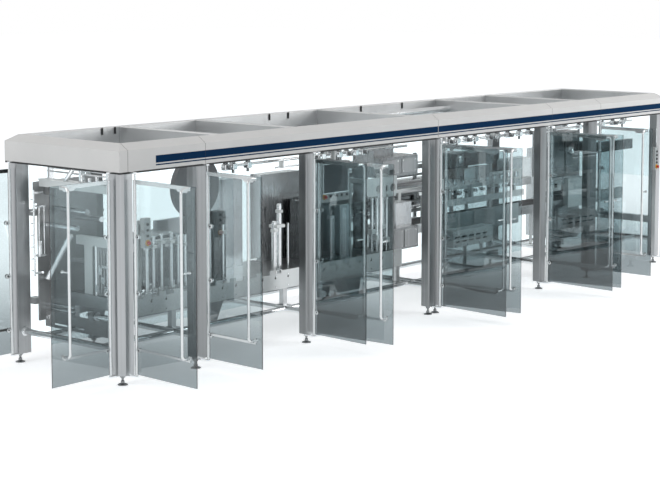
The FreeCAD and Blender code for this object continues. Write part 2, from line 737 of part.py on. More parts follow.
# base tubes: polished tubes between the columns and across the line
cross_tubes = []
for x, _, _, half_y, _ in COLUMN_PLAN:
    cross_tubes.append(rod((x, half_y, TUBE_Z), (x, DEPTH - half_y, TUBE_Z), CROSS_TUBE_D))
mid_tube = rod((MID_TUBE_X, BED_FRONT, TUBE_Z), (MID_TUBE_X, BED_BACK, TUBE_Z), MID_TUBE_D)
crossed = [rod((MID_TUBE_X - LONG_TUBE_D, y, TUBE_Z), (MID_TUBE_X + LONG_TUBE_D, y, TUBE_Z), LONG_TUBE_D)
           for y in (BED_FRONT, BED_BACK)]
cross_tubes.append(cut(mid_tube, crossed))
add("base_cross_tubes", cross_tubes)

long_tubes = []
for y in (BED_FRONT, BED_BACK):
    for a, b in zip(COLUMN_LINES[:-1], COLUMN_LINES[1:]):
        tube = rod((a, y, TUBE_Z), (b, y, TUBE_Z), LONG_TUBE_D)
        ends = [rod((x, y - LONG_TUBE_D, TUBE_Z), (x, y + LONG_TUBE_D, TUBE_Z), CROSS_TUBE_D)
                for x in (a, b)]
        long_tubes.append(cut(tube, ends))
add("base_long_tubes", long_tubes)


# machine bed: a front plate with a row of tabs and holes, two box beams, a deck and saddled legs
def bed_plate():
    """Plate outline with tabs along the left part of its top edge, drilled and parted at the seam."""
    top = [(BED_LEFT, PLATE_STEP)]
    for k in range(PLATE_TABS):
        centre = PLATE_TAB_X + k * PLATE_PITCH
        top += [(centre - PLATE_TAB_W / 2.0, PLATE_STEP), (centre - PLATE_TAB_W / 2.0, PLATE_TAB_TOP),
                (centre + PLATE_TAB_W / 2.0, PLATE_TAB_TOP), (centre + PLATE_TAB_W / 2.0, PLATE_STEP)]
    plain_x = top[-1][0] + PLATE_TAB_W
    top += [(plain_x, PLATE_STEP), (plain_x, PLATE_TOP), (BED_RIGHT, PLATE_TOP)]
    plate = prism_y(top + [(BED_RIGHT, PLATE_LOW), (BED_LEFT, PLATE_LOW)], BED_FRONT, BED_FRONT + BED_PLATE_T)
    holes = [rod((PLATE_HOLE_X + k * PLATE_PITCH, BED_FRONT - 1, PLATE_HOLE_Z),
                 (PLATE_HOLE_X + k * PLATE_PITCH, BED_FRONT + BED_PLATE_T + 1, PLATE_HOLE_Z), PLATE_HOLE_D)
             for k in range(PLATE_HOLES)]
    seam = box(PLATE_SEAM_X - 1, PLATE_SEAM_X + 1, BED_FRONT - 1, BED_FRONT + BED_PLATE_T + 1,
               PLATE_LOW - 1, PLATE_TAB_TOP + 1)
    return cut(plate, holes + [seam])


add("bed_front_plate", bed_plate())
beam_top = DECK_TOP - BED_DECK_T
beam_low = beam_top - BED_BEAM_H
front_beam = (BED_FRONT + BED_PLATE_T, BED_FRONT + BED_PLATE_T + BED_BEAM_W)
back_beam = (BED_BACK - BED_BEAM_W / 2.0, BED_BACK + BED_BEAM_W / 2.0)
frame = [box(BED_LEFT, BED_RIGHT, y0, y1, beam_low, beam_top) for y0, y1 in (front_beam, back_beam)]
cross_top = TUBE_Z + CROSS_TUBE_D / 2.0
long_top = TUBE_Z + LONG_TUBE_D / 2.0
for x, seat in ((BED_LEFT + BED_LEG / 2.0, long_top), (COL_2, cross_top), (COL_3, cross_top),
                (BED_RIGHT - BED_LEG, long_top)):
    frame.append(box(x - BED_LEG / 2.0, x + BED_LEG / 2.0, front_beam[1], back_beam[0],
                     beam_low, beam_top))
    for y in (BED_FRONT + BED_PLATE_T + BED_BEAM_W / 2.0, BED_BACK):
        frame.append(box(x - BED_LEG / 2.0, x + BED_LEG / 2.0, y - BED_LEG / 2.0, y + BED_LEG / 2.0,
                         seat, beam_low))
        frame.append(box(x - BED_LEG, x + BED_LEG, y - BED_LEG, y + BED_LEG, seat, seat + LEG_PLATE_T))
add("bed_frame", fuse(frame))
add("bed_deck", box(BED_LEFT, BED_RIGHT, front_beam[0], back_beam[1], beam_top, DECK_TOP))

# film end: back panel with a thicker upper sheet and a cover box, an apron plate that runs
# to the front, cantilevered rollers, a turning bar and an upright rod with its side pins
sheet_y = BACK_PANEL_Y - UPPER_SHEET_T
panel = [box(BACK_PANEL_LEFT, BACK_PANEL_RIGHT, BACK_PANEL_Y, BACK_PANEL_Y + BACK_PANEL_T,
             BACK_PANEL_LOW, BACK_PANEL_HIGH),
         box(UPPER_SHEET_LEFT, UPPER_SHEET_RIGHT, sheet_y, BACK_PANEL_Y, UPPER_SHEET_LOW, BACK_PANEL_HIGH),
         box(BACK_PANEL_LEFT, UPPER_SHEET_RIGHT, sheet_y, BACK_PANEL_Y, BACK_PANEL_LOW, LOWER_SHEET_TOP),
         box(APRON_X, APRON_X + COVER_BOX_W, sheet_y - COVER_BOX_D, sheet_y, COVER_BOX_LOW, BACK_PANEL_HIGH)]
for z in (BACK_PANEL_LOW + BRACKET_LOW_RISE, BACK_PANEL_HIGH - BRACKET_HIGH_DROP):
    for x0, x1 in ((COL_1 + CORNER_SIZE / 2.0, BACK_PANEL_LEFT + PANEL_BRACKET_L),
                   (BACK_PANEL_RIGHT - PANEL_BRACKET_L, COL_2 - COLUMN_SIZE / 2.0)):
        panel.append(box(x0, x1, BACK_PANEL_Y + BACK_PANEL_T,
                         DEPTH - COLUMN_SIZE / 2.0 + PANEL_BRACKET_LAP, z, z + PANEL_BRACKET_H))
apron = box(APRON_X, APRON_X + APRON_T, APRON_FRONT, BACK_PANEL_Y, APRON_LOW, APRON_TOP)
slot = [box(APRON_X - 1, APRON_X + APRON_T + 1, APRON_SLOT_Y0, APRON_SLOT_Y1,
            APRON_SLOT_Z - APRON_SLOT_H / 2.0, APRON_SLOT_Z + APRON_SLOT_H / 2.0)]
slot += [rod((APRON_X - 1, y, APRON_SLOT_Z), (APRON_X + APRON_T + 1, y, APRON_SLOT_Z), APRON_SLOT_H)
         for y in (APRON_SLOT_Y0, APRON_SLOT_Y1)]
add("film_back_panel", fuse(panel + [cut(apron, slot)]))

rollers = []
for x, z in GUIDE_ROLLERS:
    shoulder = BACK_PANEL_Y - ROLLER_GAP
    rollers.append(fuse([rod((x, BACK_PANEL_Y, z), (x, shoulder, z), ROLLER_SHAFT_D),
                         rod((x, shoulder, z), (x, shoulder - GUIDE_ROLLER_L, z), GUIDE_ROLLER_D)]))
bar_end = (TURN_BAR_X + TURN_BAR_RUN_X, TURN_BAR_Y - TURN_BAR_RUN_Y, TURN_BAR_HIGH)
rollers.append(fuse([rod((TURN_BAR_X, BACK_PANEL_Y, TURN_BAR_LOW), (TURN_BAR_X, TURN_BAR_Y, TURN_BAR_LOW),
                         TURN_SHAFT_D),
                     rod((TURN_BAR_X, TURN_BAR_Y + TURN_SHAFT_D / 2.0, TURN_BAR_LOW), bar_end, TURN_BAR_D)]))
for z in SIDE_ROD_LEVELS:
    rollers.append(rod((APRON_X, sheet_y, z), (APRON_X, sheet_y - SIDE_ROD_L, z), SIDE_ROD_D))
upright = [rod((UPRIGHT_X, UPRIGHT_Y, UPRIGHT_LOW), (UPRIGHT_X, UPRIGHT_Y, UPRIGHT_HIGH), UPRIGHT_D)]
for z, reach in ((UPRIGHT_LOW + UPRIGHT_ARM, BACK_PANEL_Y), (UPRIGHT_HIGH - UPRIGHT_ARM, sheet_y)):
    half = UPRIGHT_BAR / 2.0
    upright.append(box(UPRIGHT_X, BACK_PANEL_LEFT + UPRIGHT_ARM, UPRIGHT_Y - half, UPRIGHT_Y + half,
                       z - UPRIGHT_BAR, z + UPRIGHT_BAR))
    upright.append(box(BACK_PANEL_LEFT, BACK_PANEL_LEFT + UPRIGHT_ARM, UPRIGHT_Y - half, reach,
                       z - UPRIGHT_BAR, z + UPRIGHT_BAR))
for z in UPRIGHT_PINS:
    upright.append(rod((UPRIGHT_X, UPRIGHT_Y, z), (UPRIGHT_X - UPRIGHT_PIN_L, UPRIGHT_Y, z), UPRIGHT_PIN_D))
rollers.append(fuse(upright))
add("guide_rollers", rollers)

# film reel on its mandrel, carried by a stand on the bed
reel_back = REEL_Y + REEL_W
reel = rod((REEL_X, REEL_Y, REEL_Z), (REEL_X, reel_back, REEL_Z), REEL_D)
add("film_reel", reel.cut(rod((REEL_X, REEL_Y - 1, REEL_Z), (REEL_X, reel_back + 1, REEL_Z), REEL_CORE_D)))
stand_y = reel_back + REEL_STAND_GAP
stand = [box(REEL_X - REEL_POST / 2.0, REEL_X + REEL_POST / 2.0, stand_y, stand_y + REEL_POST_D,
             DECK_TOP, REEL_Z + REEL_POST_RISE),
         rod((REEL_X, stand_y, REEL_Z), (REEL_X, REEL_Y - REEL_STAND_GAP, REEL_Z), MANDREL_D),
         rod((REEL_X, reel_back, REEL_Z), (REEL_X, reel_back + REEL_FLANGE_T, REEL_Z), REEL_FLANGE_D)]
for y0 in (REEL_Y, reel_back - REEL_HUB_T):
    stand.append(rod((REEL_X, y0, REEL_Z), (REEL_X, y0 + REEL_HUB_T, REEL_Z),
                     REEL_CORE_D - 2 * PIN_CLEARANCE))
add("reel_stand", fuse(stand))

# forming portal: a beam over an upright plate and a side plate, with a chrome column beside them
portal_right, portal_low = PORTAL_X + PORTAL_DEEP, PORTAL_TOP - PORTAL_BEAM
portal = [box(PORTAL_X, portal_right, PORTAL_FRONT, PORTAL_BACK, portal_low, PORTAL_TOP),
          box(PORTAL_X, PORTAL_X + PORTAL_T, PORTAL_LEG_Y, PORTAL_LEG_Y + PORTAL_LEG, DECK_TOP, PORTAL_TOP),
          box(PORTAL_X, portal_right, PORTAL_FRONT, PORTAL_FRONT + PORTAL_T, DECK_TOP, PORTAL_TOP)]
add("forming_portal", fuse(portal))
portal_mid = PORTAL_X + PORTAL_DEEP / 2.0
posts = [rod((portal_mid, PORTAL_COLUMN_Y, DECK_TOP), (portal_mid, PORTAL_COLUMN_Y, portal_low),
             PORTAL_COLUMN_D)]
for x, diameter, top in GUIDE_POSTS:
    posts.append(rod((x, POST_Y, DECK_TOP), (x, POST_Y, top), diameter))
add("guide_columns", posts)

# closed housings of the forming, sealing and transfer stations, dark painted
post = box(SEAL_POST_X, SEAL_POST_X + SEAL_POST_W, SEAL_HEAD_BACK - SEAL_POST_W, SEAL_HEAD_BACK,
           DECK_TOP, SEAL_HEAD_TOP)
beam = box(SEAL_HEAD_X, SEAL_HEAD_X + SEAL_HEAD_L, SEAL_HEAD_Y, SEAL_HEAD_BACK, SEAL_HEAD_LOW, SEAL_HEAD_TOP)
tower = box(SEAL_HEAD_X, SEAL_HEAD_X + SEAL_TOWER_L, SEAL_TOWER_Y, SEAL_HEAD_BACK,
            SEAL_HEAD_TOP, SEAL_TOWER_TOP)
head = box(HEAD_X, HEAD_X + HEAD_L, HEAD_Y, END_CABINET_Y, HEAD_LOW, HEAD_TOP)
bar = box(HEAD_BAR_X, HEAD_BAR_RIGHT, HEAD_BAR_Y, HEAD_BAR_Y + HEAD_BAR_D, HEAD_BAR_LOW, HEAD_BAR_TOP)
arm = box(HEAD_BAR_X, HEAD_BAR_X + HEAD_ARM, HEAD_BAR_Y, HEAD_Y, HEAD_BAR_LOW, HEAD_BAR_TOP)
add("forming_cabinet",
    [box(FORM_BOX_X, FORM_BOX_X + FORM_BOX_L, FORM_BOX_Y, FORM_BOX_Y + FORM_BOX_D, DECK_TOP, FORM_BOX_TOP),
     box(FEED_BOX_X, FEED_BOX_X + FEED_BOX_L, FORM_BOX_Y, FORM_BOX_Y + FEED_BOX_D, DECK_TOP, FEED_BOX_TOP),
     box(FORM_CABINET_X, FORM_CABINET_X + FORM_CABINET_L, FORM_CABINET_Y, FORM_CABINET_Y + FORM_CABINET_D,
         DECK_TOP, FORM_CABINET_TOP),
     box(SEAL_HOUSING_X, SEAL_HOUSING_X + SEAL_HOUSING_L, SEAL_HOUSING_Y, SEAL_HOUSING_Y + SEAL_HOUSING_D,
         DECK_TOP, SEAL_HOUSING_TOP),
     fuse([post, beam, tower]), fuse([head, bar, arm])])

# steel cabinets along the back of the bed, the hood of the sealing drive and the end cabinet
cabinet_back = MAIN_CABINET_Y + MAIN_CABINET_D
add("rear_cabinets",
    [box(SIDE_PANEL_X, SIDE_PANEL_X + SIDE_PANEL_L, BED_BACK - SIDE_PANEL_D, BED_BACK,
         DECK_TOP, SIDE_PANEL_TOP),
     box(BRUSHED_X, BRUSHED_X + BRUSHED_L, MAIN_CABINET_Y, cabinet_back, DECK_TOP, BRUSHED_TOP),
     box(MAIN_CABINET_X, MAIN_CABINET_X + MAIN_CABINET_L, MAIN_CABINET_Y, cabinet_back,
         DECK_TOP, MAIN_CABINET_TOP),
     box(HOOD_X, HOOD_X + HOOD_L, SEAL_HOUSING_Y + HOOD_STEP, SEAL_HOUSING_Y + SEAL_HOUSING_D,
         SEAL_HOUSING_TOP, HOOD_TOP),
     box(END_CABINET_X, END_CABINET_X + END_CABINET_L, END_CABINET_Y, END_CABINET_Y + END_CABINET_D,
         long_top, END_CABINET_TOP)])

# sealing bracket: a plate with a sloped corner, two round holes and a slot, on arms and legs
seal_y = SEAL_BRACKET_Y + SEAL_BRACKET_T
seal_right = SEAL_BRACKET_X + SEAL_BRACKET_L
seal_top = SEAL_BRACKET_LOW + SEAL_BRACKET_H
seal_plate = prism_y([(SEAL_BRACKET_X, seal_top), (seal_right, seal_top), (seal_right, SEAL_BRACKET_LOW),
                      (SEAL_BRACKET_X + SEAL_SLOPE, SEAL_BRACKET_LOW),
                      (SEAL_BRACKET_X, SEAL_BRACKET_LOW + SEAL_SLOPE)], SEAL_BRACKET_Y, seal_y)
openings = [rod((x, SEAL_BRACKET_Y - 1, SEAL_HOLE_Z), (x, seal_y + 1, SEAL_HOLE_Z), SEAL_HOLE_D)
            for x in SEAL_HOLE_X]
openings.append(box(SEAL_SLOT_X, SEAL_SLOT_X + SEAL_SLOT_W, SEAL_BRACKET_Y - 1, seal_y + 1,
                    SEAL_HOLE_Z - SEAL_SLOT_H / 2.0, SEAL_HOLE_Z + SEAL_SLOT_H / 2.0))
supports = []
for x in (SEAL_BRACKET_X + SEAL_ARM_INSET, seal_right - SEAL_ARM_INSET - SEAL_ARM_W):
    supports.append(box(x, x + SEAL_ARM_W, seal_y, SEAL_LEG_Y + SEAL_ARM_W, seal_top - SEAL_ARM_H, seal_top))
    supports.append(box(x, x + SEAL_ARM_W, SEAL_LEG_Y, SEAL_LEG_Y + SEAL_ARM_W, DECK_TOP, seal_top))
add("sealing_bracket", fuse([cut(seal_plate, openings)] + supports))

# operator stations: touch panel on a tube from the canopy, button box on a post, button strip
hmi_x = HMI_X + HMI_W / 2.0
hmi_top = HMI_BOTTOM + HMI_H
add("hmi_panel", fuse([box(HMI_X, HMI_X + HMI_W, 0, HMI_T, HMI_BOTTOM, hmi_top),
                       rod((hmi_x, HMI_T / 2.0, hmi_top), (hmi_x, HMI_T / 2.0, CANOPY_BOTTOM), HMI_TUBE_D)]))
post_x = BUTTON_BOX_X + BUTTON_BOX_W / 2.0
box_back = BUTTON_BOX_Y + BUTTON_BOX_D
box_top = BUTTON_BOX_Z + BUTTON_BOX_H
post_y = front_beam[0] + BUTTON_POST
post_x0, post_x1 = post_x - BUTTON_POST / 2.0, post_x + BUTTON_POST / 2.0
post_top = box_top - BUTTON_POST
add("button_box", fuse([box(BUTTON_BOX_X, BUTTON_BOX_X + BUTTON_BOX_W, BUTTON_BOX_Y, box_back,
                            BUTTON_BOX_Z, box_top),
                        box(post_x0, post_x1, box_back, post_y, post_top - BUTTON_POST, post_top),
                        box(post_x0, post_x1, post_y - BUTTON_POST, post_y, DECK_TOP, post_top)]))
strip_x = COL_8 - COLUMN_SIZE / 2.0
add("button_strip", box(strip_x - BUTTON_STRIP_W, strip_x, BUTTON_STRIP_Y, BUTTON_STRIP_Y + BUTTON_STRIP_D,
                        BUTTON_STRIP_Z, BUTTON_STRIP_Z + BUTTON_STRIP_H))

# discharge chutes: open funnels that hang under the front beam behind the front tube
chutes = []
chute_front = BED_FRONT + LONG_TUBE_D / 2.0 + CHUTE_CLEAR
chute_back = chute_front + CHUTE_D
for top_left, top_right, low_left, low_right, low in CHUTES:
    outer = [(top_left, beam_low), (top_right, beam_low), (low_right, low), (low_left, low)]
    inner = [(top_left + CHUTE_T, beam_low + 1), (top_right - CHUTE_T, beam_low + 1),
             (low_right - CHUTE_T, low - 1), (low_left + CHUTE_T, low - 1)]
    hollow = prism_y(inner, chute_front + CHUTE_T, chute_back - CHUTE_T)
    chutes.append(prism_y(outer, chute_front, chute_back).cut(hollow))
add("discharge_chutes", chutes)

# outfeed conveyor: side plates with drums and one belt loop, a side cover and the end cross beam
side_low = CONVEYOR_TOP - CONVEYOR_SIDE_H
y_sides = ((CONVEYOR_FRONT, CONVEYOR_FRONT + CONVEYOR_SIDE_T),
           (CONVEYOR_FRONT + CONVEYOR_W - CONVEYOR_SIDE_T, CONVEYOR_FRONT + CONVEYOR_W))
frame = [box(CONVEYOR_LEFT, CONVEYOR_RIGHT, y0, y1, side_low, CONVEYOR_TOP) for y0, y1 in y_sides]
drum_z = CONVEYOR_TOP - CONVEYOR_SIDE_H / 2.0
drum_x = [CONVEYOR_LEFT + CONVEYOR_SIDE_H / 2.0, CONVEYOR_RIGHT - CONVEYOR_SIDE_H / 2.0]
frame += [rod((x, y_sides[0][0], drum_z), (x, y_sides[1][1], drum_z), CONVEYOR_DRUM_D) for x in drum_x]
for x, seat in ((MID_TUBE_X, TUBE_Z + MID_TUBE_D / 2.0), (COL_6, cross_top), (COL_7, cross_top)):
    frame += [box(x - CONVEYOR_LEG / 2.0, x + CONVEYOR_LEG / 2.0, y0, y1, seat, side_low + CONVEYOR_SIDE_T)
              for y0, y1 in y_sides]
frame.append(box(COVER_X, COVER_X + COVER_L, COVER_Y, COVER_Y + CONVEYOR_SIDE_T, COVER_LOW, COVER_TOP))
for x in (COVER_X + CONVEYOR_LEG, COVER_X + COVER_L / 2.0, COVER_X + COVER_L - 2 * CONVEYOR_LEG):
    frame.append(box(x, x + CONVEYOR_LEG, COVER_Y, CONVEYOR_FRONT,
                     side_low + CONVEYOR_SIDE_T, side_low + 2 * CONVEYOR_SIDE_T))
end_beam = box(COL_8 - END_BEAM_W, COL_8, END_Y0, END_Y1, END_BEAM_LOW, END_BEAM_LOW + END_BEAM_H)
add("conveyor_frame", [fuse(frame), end_beam])
r_in = CONVEYOR_DRUM_D / 2.0
r_out = r_in + BELT_T


def belt_loop(radius, y0, y1):
    """Stadium around both drums."""
    return fuse([rod((x, y0, drum_z), (x, y1, drum_z), 2 * radius) for x in drum_x]
                + [box(drum_x[0], drum_x[1], y0, y1, drum_z - radius, drum_z + radius)])


belt_y = (y_sides[0][1] + BELT_T, y_sides[1][0] - BELT_T)
add("conveyor_belt", belt_loop(r_out, *belt_y).cut(belt_loop(r_in, belt_y[0] - 1, belt_y[1] + 1)))

# transfer section: guide rails on posts, the slotted drive box and the round drive guard
rails = []
for y in (CONVEYOR_FRONT, CONVEYOR_FRONT + CONVEYOR_W - RAIL_BAR):
    rail = [box(COL_5 + UPPER_RAIL_INSET, COL_6 + UPPER_RAIL_INSET, y, y + RAIL_BAR,
                UPPER_RAIL_Z, UPPER_RAIL_Z + UPPER_RAIL_H)]
    rail += [box(x, x + RAIL_POST, y, y + RAIL_BAR, CONVEYOR_TOP, UPPER_RAIL_Z)
             for x in (COL_5 + UPPER_RAIL_INSET + RAIL_POST, COL_6 - UPPER_RAIL_INSET)]
    rails.append(fuse(rail))
add("transfer_rails", rails)
add("drive_box", box(DRIVE_BOX_X, DRIVE_BOX_X + DRIVE_BOX_L, DRIVE_BOX_Y, COVER_Y,
                     DRIVE_BOX_TOP - DRIVE_BOX_H, DRIVE_BOX_TOP))
drum_low = GUARD_DRUM_TOP - GUARD_DRUM_H
drum_mid = drum_low + GUARD_DRUM_H / 2.0
add("drive_guard", fuse([Part.makeCylinder(GUARD_DRUM_D / 2.0, GUARD_DRUM_TOP - drum_mid,
                                           V(GUARD_DRUM_X, GUARD_DRUM_Y, drum_mid)),
                         Part.makeCone(GUARD_DRUM_D / 4.0, GUARD_DRUM_D / 2.0, drum_mid - drum_low,
                                       V(GUARD_DRUM_X, GUARD_DRUM_Y, drum_low)),
                         box(GUARD_DRUM_X - GUARD_ARM / 2.0, GUARD_DRUM_X + GUARD_ARM / 2.0,
                             GUARD_DRUM_Y + GUARD_DRUM_D / 4.0, CONVEYOR_FRONT,
                             GUARD_DRUM_TOP - GUARD_ARM_H, CONVEYOR_TOP - GUARD_ARM_H)]))
add("overhead_pipe", rod((CROSS_BEAMS[2] + CROSS_BEAM_WIDTH / 2.0, PIPE_Y, PIPE_Z),
                         (CROSS_BEAMS[3] - CROSS_BEAM_WIDTH / 2.0, PIPE_Y, PIPE_Z), PIPE_D))

# one file per node
os.makedirs("parts", exist_ok=True)
for name, shape in NODES.items():
    shape.exportStep("parts/%s.step" % name)
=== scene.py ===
import json
import math

import bmesh
import bpy
from mathutils import Matrix, Vector

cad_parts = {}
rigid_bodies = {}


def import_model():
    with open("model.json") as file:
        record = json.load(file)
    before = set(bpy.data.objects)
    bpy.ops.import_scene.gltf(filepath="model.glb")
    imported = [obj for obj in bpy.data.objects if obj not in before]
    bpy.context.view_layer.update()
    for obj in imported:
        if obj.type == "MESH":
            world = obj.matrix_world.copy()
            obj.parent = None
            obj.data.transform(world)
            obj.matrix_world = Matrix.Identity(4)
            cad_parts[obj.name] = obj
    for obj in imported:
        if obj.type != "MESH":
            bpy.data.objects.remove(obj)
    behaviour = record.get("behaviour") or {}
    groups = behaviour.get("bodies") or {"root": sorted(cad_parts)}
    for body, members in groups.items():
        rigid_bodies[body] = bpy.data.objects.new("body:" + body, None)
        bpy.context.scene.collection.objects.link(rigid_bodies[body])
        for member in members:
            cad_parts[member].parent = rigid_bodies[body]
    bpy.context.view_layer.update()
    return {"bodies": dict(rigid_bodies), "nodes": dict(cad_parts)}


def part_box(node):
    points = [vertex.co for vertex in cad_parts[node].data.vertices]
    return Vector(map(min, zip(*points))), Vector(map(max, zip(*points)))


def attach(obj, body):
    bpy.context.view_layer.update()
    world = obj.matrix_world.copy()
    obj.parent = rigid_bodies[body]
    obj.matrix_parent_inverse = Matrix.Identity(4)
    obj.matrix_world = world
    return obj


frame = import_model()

bpy.ops.object.select_all(action="DESELECT")
scene = bpy.context.scene

# Camera: it stands left of the line and in front of it, a little above the canopy, looking
# along the row of open doors.  Place, turn and focal length come from the photo's columns.
CAMERA_PLACE = Vector((-11.1516, -12.4526, 3.8998))
CAMERA_LOOKS = Vector((0.747419, 0.657088, -0.097981))
PHOTO_WIDTH = 660
FOCAL_PIXELS = 1760.65
PHOTO_SHIFT = 90
camera_data = bpy.data.cameras.new("photo_camera")
camera = bpy.data.objects.new("photo_camera", camera_data)
scene.collection.objects.link(camera)
camera.location = CAMERA_PLACE
camera.rotation_mode = "QUATERNION"
camera.rotation_quaternion = CAMERA_LOOKS.to_track_quat("-Z", "Y")
camera_data.sensor_width = 36
camera_data.lens = FOCAL_PIXELS * camera_data.sensor_width / PHOTO_WIDTH
camera_data.shift_y = -PHOTO_SHIFT / PHOTO_WIDTH
camera_data.clip_end = 200
scene.camera = camera
scene.view_settings.view_transform = "Standard"
scene.cycles.max_bounces = 24
scene.cycles.transmission_bounces = 24
scene.cycles.transparent_max_bounces = 32

# Studio sky: white at the horizon, grey half way up and bright overhead, so that round steel
# shows a dark band between two light ones.
SKY_BANDS = ((0.50, 1.00), (0.54, 1.00), (0.62, 0.50), (0.80, 0.52), (0.92, 1.00))
MIRRORED_WHITE = 0.30
SKY_STRENGTH = 0.92
world = bpy.data.worlds.new("studio_sky")
scene.world = world
world.use_nodes = True
sky = world.node_tree
sky.nodes.clear()
direction = sky.nodes.new("ShaderNodeTexCoord")
split = sky.nodes.new("ShaderNodeSeparateXYZ")
lift = sky.nodes.new("ShaderNodeMath")
lift.operation = "MULTIPLY_ADD"
lift.inputs[1].default_value = 0.5
lift.inputs[2].default_value = 0.5
bands = sky.nodes.new("ShaderNodeValToRGB")
for number, (place, grey) in enumerate(SKY_BANDS):
    stop = bands.color_ramp.elements[number] if number < 2 else bands.color_ramp.elements.new(place)
    stop.position = place
    stop.color = (grey, grey, grey * 1.01, 1)
soft_light = sky.nodes.new("ShaderNodeBackground")
soft_light.inputs["Strength"].default_value = SKY_STRENGTH
white = sky.nodes.new("ShaderNodeBackground")
white.inputs["Color"].default_value = (1, 1, 1, 1)
path = sky.nodes.new("ShaderNodeLightPath")
seen = sky.nodes.new("ShaderNodeMath")
mirrored = sky.nodes.new("ShaderNodeMath")
mirrored.operation = "MULTIPLY_ADD"
mirrored.inputs[1].default_value = MIRRORED_WHITE
share = sky.nodes.new("ShaderNodeMixShader")
sky_out = sky.nodes.new("ShaderNodeOutputWorld")
sky.links.new(direction.outputs["Generated"], split.inputs[0])
sky.links.new(split.outputs["Z"], lift.inputs[0])
sky.links.new(lift.outputs[0], bands.inputs["Fac"])
sky.links.new(bands.outputs["Color"], soft_light.inputs["Color"])
sky.links.new(path.outputs["Is Camera Ray"], seen.inputs[0])
sky.links.new(path.outputs["Is Transmission Ray"], seen.inputs[1])
sky.links.new(path.outputs["Is Glossy Ray"], mirrored.inputs[0])
sky.links.new(seen.outputs[0], mirrored.inputs[2])
sky.links.new(mirrored.outputs[0], share.inputs["Fac"])
sky.links.new(soft_light.outputs[0], share.inputs[1])
sky.links.new(white.outputs[0], share.inputs[2])
sky.links.new(share.outputs[0], sky_out.inputs["Surface"])

# Studio floor: pale and matt, so that it keeps the soft shadow under the machine.  To the eye,
# and in glass and metal, a steady glow lifts the open floor to the white of the horizon.
FLOOR_GLOW = 0.46
FLOOR_SIZE, FLOOR_CENTRE = 160, (4.8, 0.7, 0)
bpy.ops.mesh.primitive_plane_add(size=FLOOR_SIZE, location=FLOOR_CENTRE)
bpy.ops.object.transform_apply(location=True, rotation=True, scale=True)
floor = bpy.context.object
floor.name = "studio_floor"
floor_paint = bpy.data.materials.new("studio_floor")
floor_paint.use_nodes = True
tree = floor_paint.node_tree
tree.nodes.clear()
matt = tree.nodes.new("ShaderNodeBsdfDiffuse")
matt.inputs["Color"].default_value = (0.86, 0.88, 0.90, 1)
glow = tree.nodes.new("ShaderNodeEmission")
glow.inputs["Color"].default_value = (1, 1, 1, 1)
path = tree.nodes.new("ShaderNodeLightPath")
eye = tree.nodes.new("ShaderNodeMath")
seen = tree.nodes.new("ShaderNodeMath")
share = tree.nodes.new("ShaderNodeMath")
share.operation = "MULTIPLY"
share.inputs[1].default_value = FLOOR_GLOW
both = tree.nodes.new("ShaderNodeAddShader")
out = tree.nodes.new("ShaderNodeOutputMaterial")
tree.links.new(path.outputs["Is Camera Ray"], eye.inputs[0])
tree.links.new(path.outputs["Is Glossy Ray"], eye.inputs[1])
tree.links.new(eye.outputs[0], seen.inputs[0])
tree.links.new(path.outputs["Is Transmission Ray"], seen.inputs[1])
tree.links.new(seen.outputs[0], share.inputs[0])
tree.links.new(share.outputs[0], glow.inputs["Strength"])
tree.links.new(matt.outputs[0], both.inputs[0])
tree.links.new(glow.outputs[0], both.inputs[1])
tree.links.new(both.outputs[0], out.inputs["Surface"])
floor.data.materials.append(floor_paint)

# Studio lamps: a large soft one to the left, which brightens the film end, and a wider one in
# front and to the right, for the fascia and the doors.
LAMPS = (("left_softbox", (-9, 1, 6), (1, 0.7, 1.2), 5, 330),
         ("front_softbox", (13, -10, 6), (9.5, 0, 1.8), 6, 760))
for name, place, aim, size, power in LAMPS:
    lamp_data = bpy.data.lights.new(name, "AREA")
    lamp_data.size = size
    lamp_data.energy = power
    lamp = bpy.data.objects.new(name, lamp_data)
    scene.collection.objects.link(lamp)
    lamp.location = place
    lamp.rotation_mode = "QUATERNION"
    lamp.rotation_quaternion = (Vector(aim) - Vector(place)).to_track_quat("-Z", "Y")


# Columns: folded box sections of stainless sheet, brushed upright and left bare.  The grain
# and the faint cloudiness of handled steel are two node groups that the other metals share.
def effect_group(name, inputs, outputs):
    """New shader node group with float or vector inputs and the named outputs."""
    group = bpy.data.node_groups.new(name, "ShaderNodeTree")
    for label, kind, value in inputs:
        socket = group.interface.new_socket(label, in_out="INPUT", socket_type=kind)
        if value is not None:
            socket.default_value = value
    for label, kind in outputs:
        group.interface.new_socket(label, in_out="OUTPUT", socket_type=kind)
    return group, group.nodes.new("NodeGroupInput"), group.nodes.new("NodeGroupOutput")


brushing, start, end = effect_group(
    "brushed_grain",
    (("Vector", "NodeSocketVector", None), ("Stretch", "NodeSocketVector", (400, 400, 6))),
    (("Grain", "NodeSocketFloat"), ("Streak", "NodeSocketFloat")))
scaled = brushing.nodes.new("ShaderNodeVectorMath")
scaled.operation = "MULTIPLY"
fine = brushing.nodes.new("ShaderNodeTexNoise")
fine.inputs["Scale"].default_value = 1.0
fine.inputs["Detail"].default_value = 3.0
coarse = brushing.nodes.new("ShaderNodeTexNoise")
coarse.inputs["Scale"].default_value = 0.06
coarse.inputs["Detail"].default_value = 2.0
brushing.links.new(start.outputs["Vector"], scaled.inputs[0])
brushing.links.new(start.outputs["Stretch"], scaled.inputs[1])
brushing.links.new(scaled.outputs[0], fine.inputs["Vector"])
brushing.links.new(scaled.outputs[0], coarse.inputs["Vector"])
brushing.links.new(fine.outputs["Fac"], end.inputs["Grain"])
brushing.links.new(coarse.outputs["Fac"], end.inputs["Streak"])

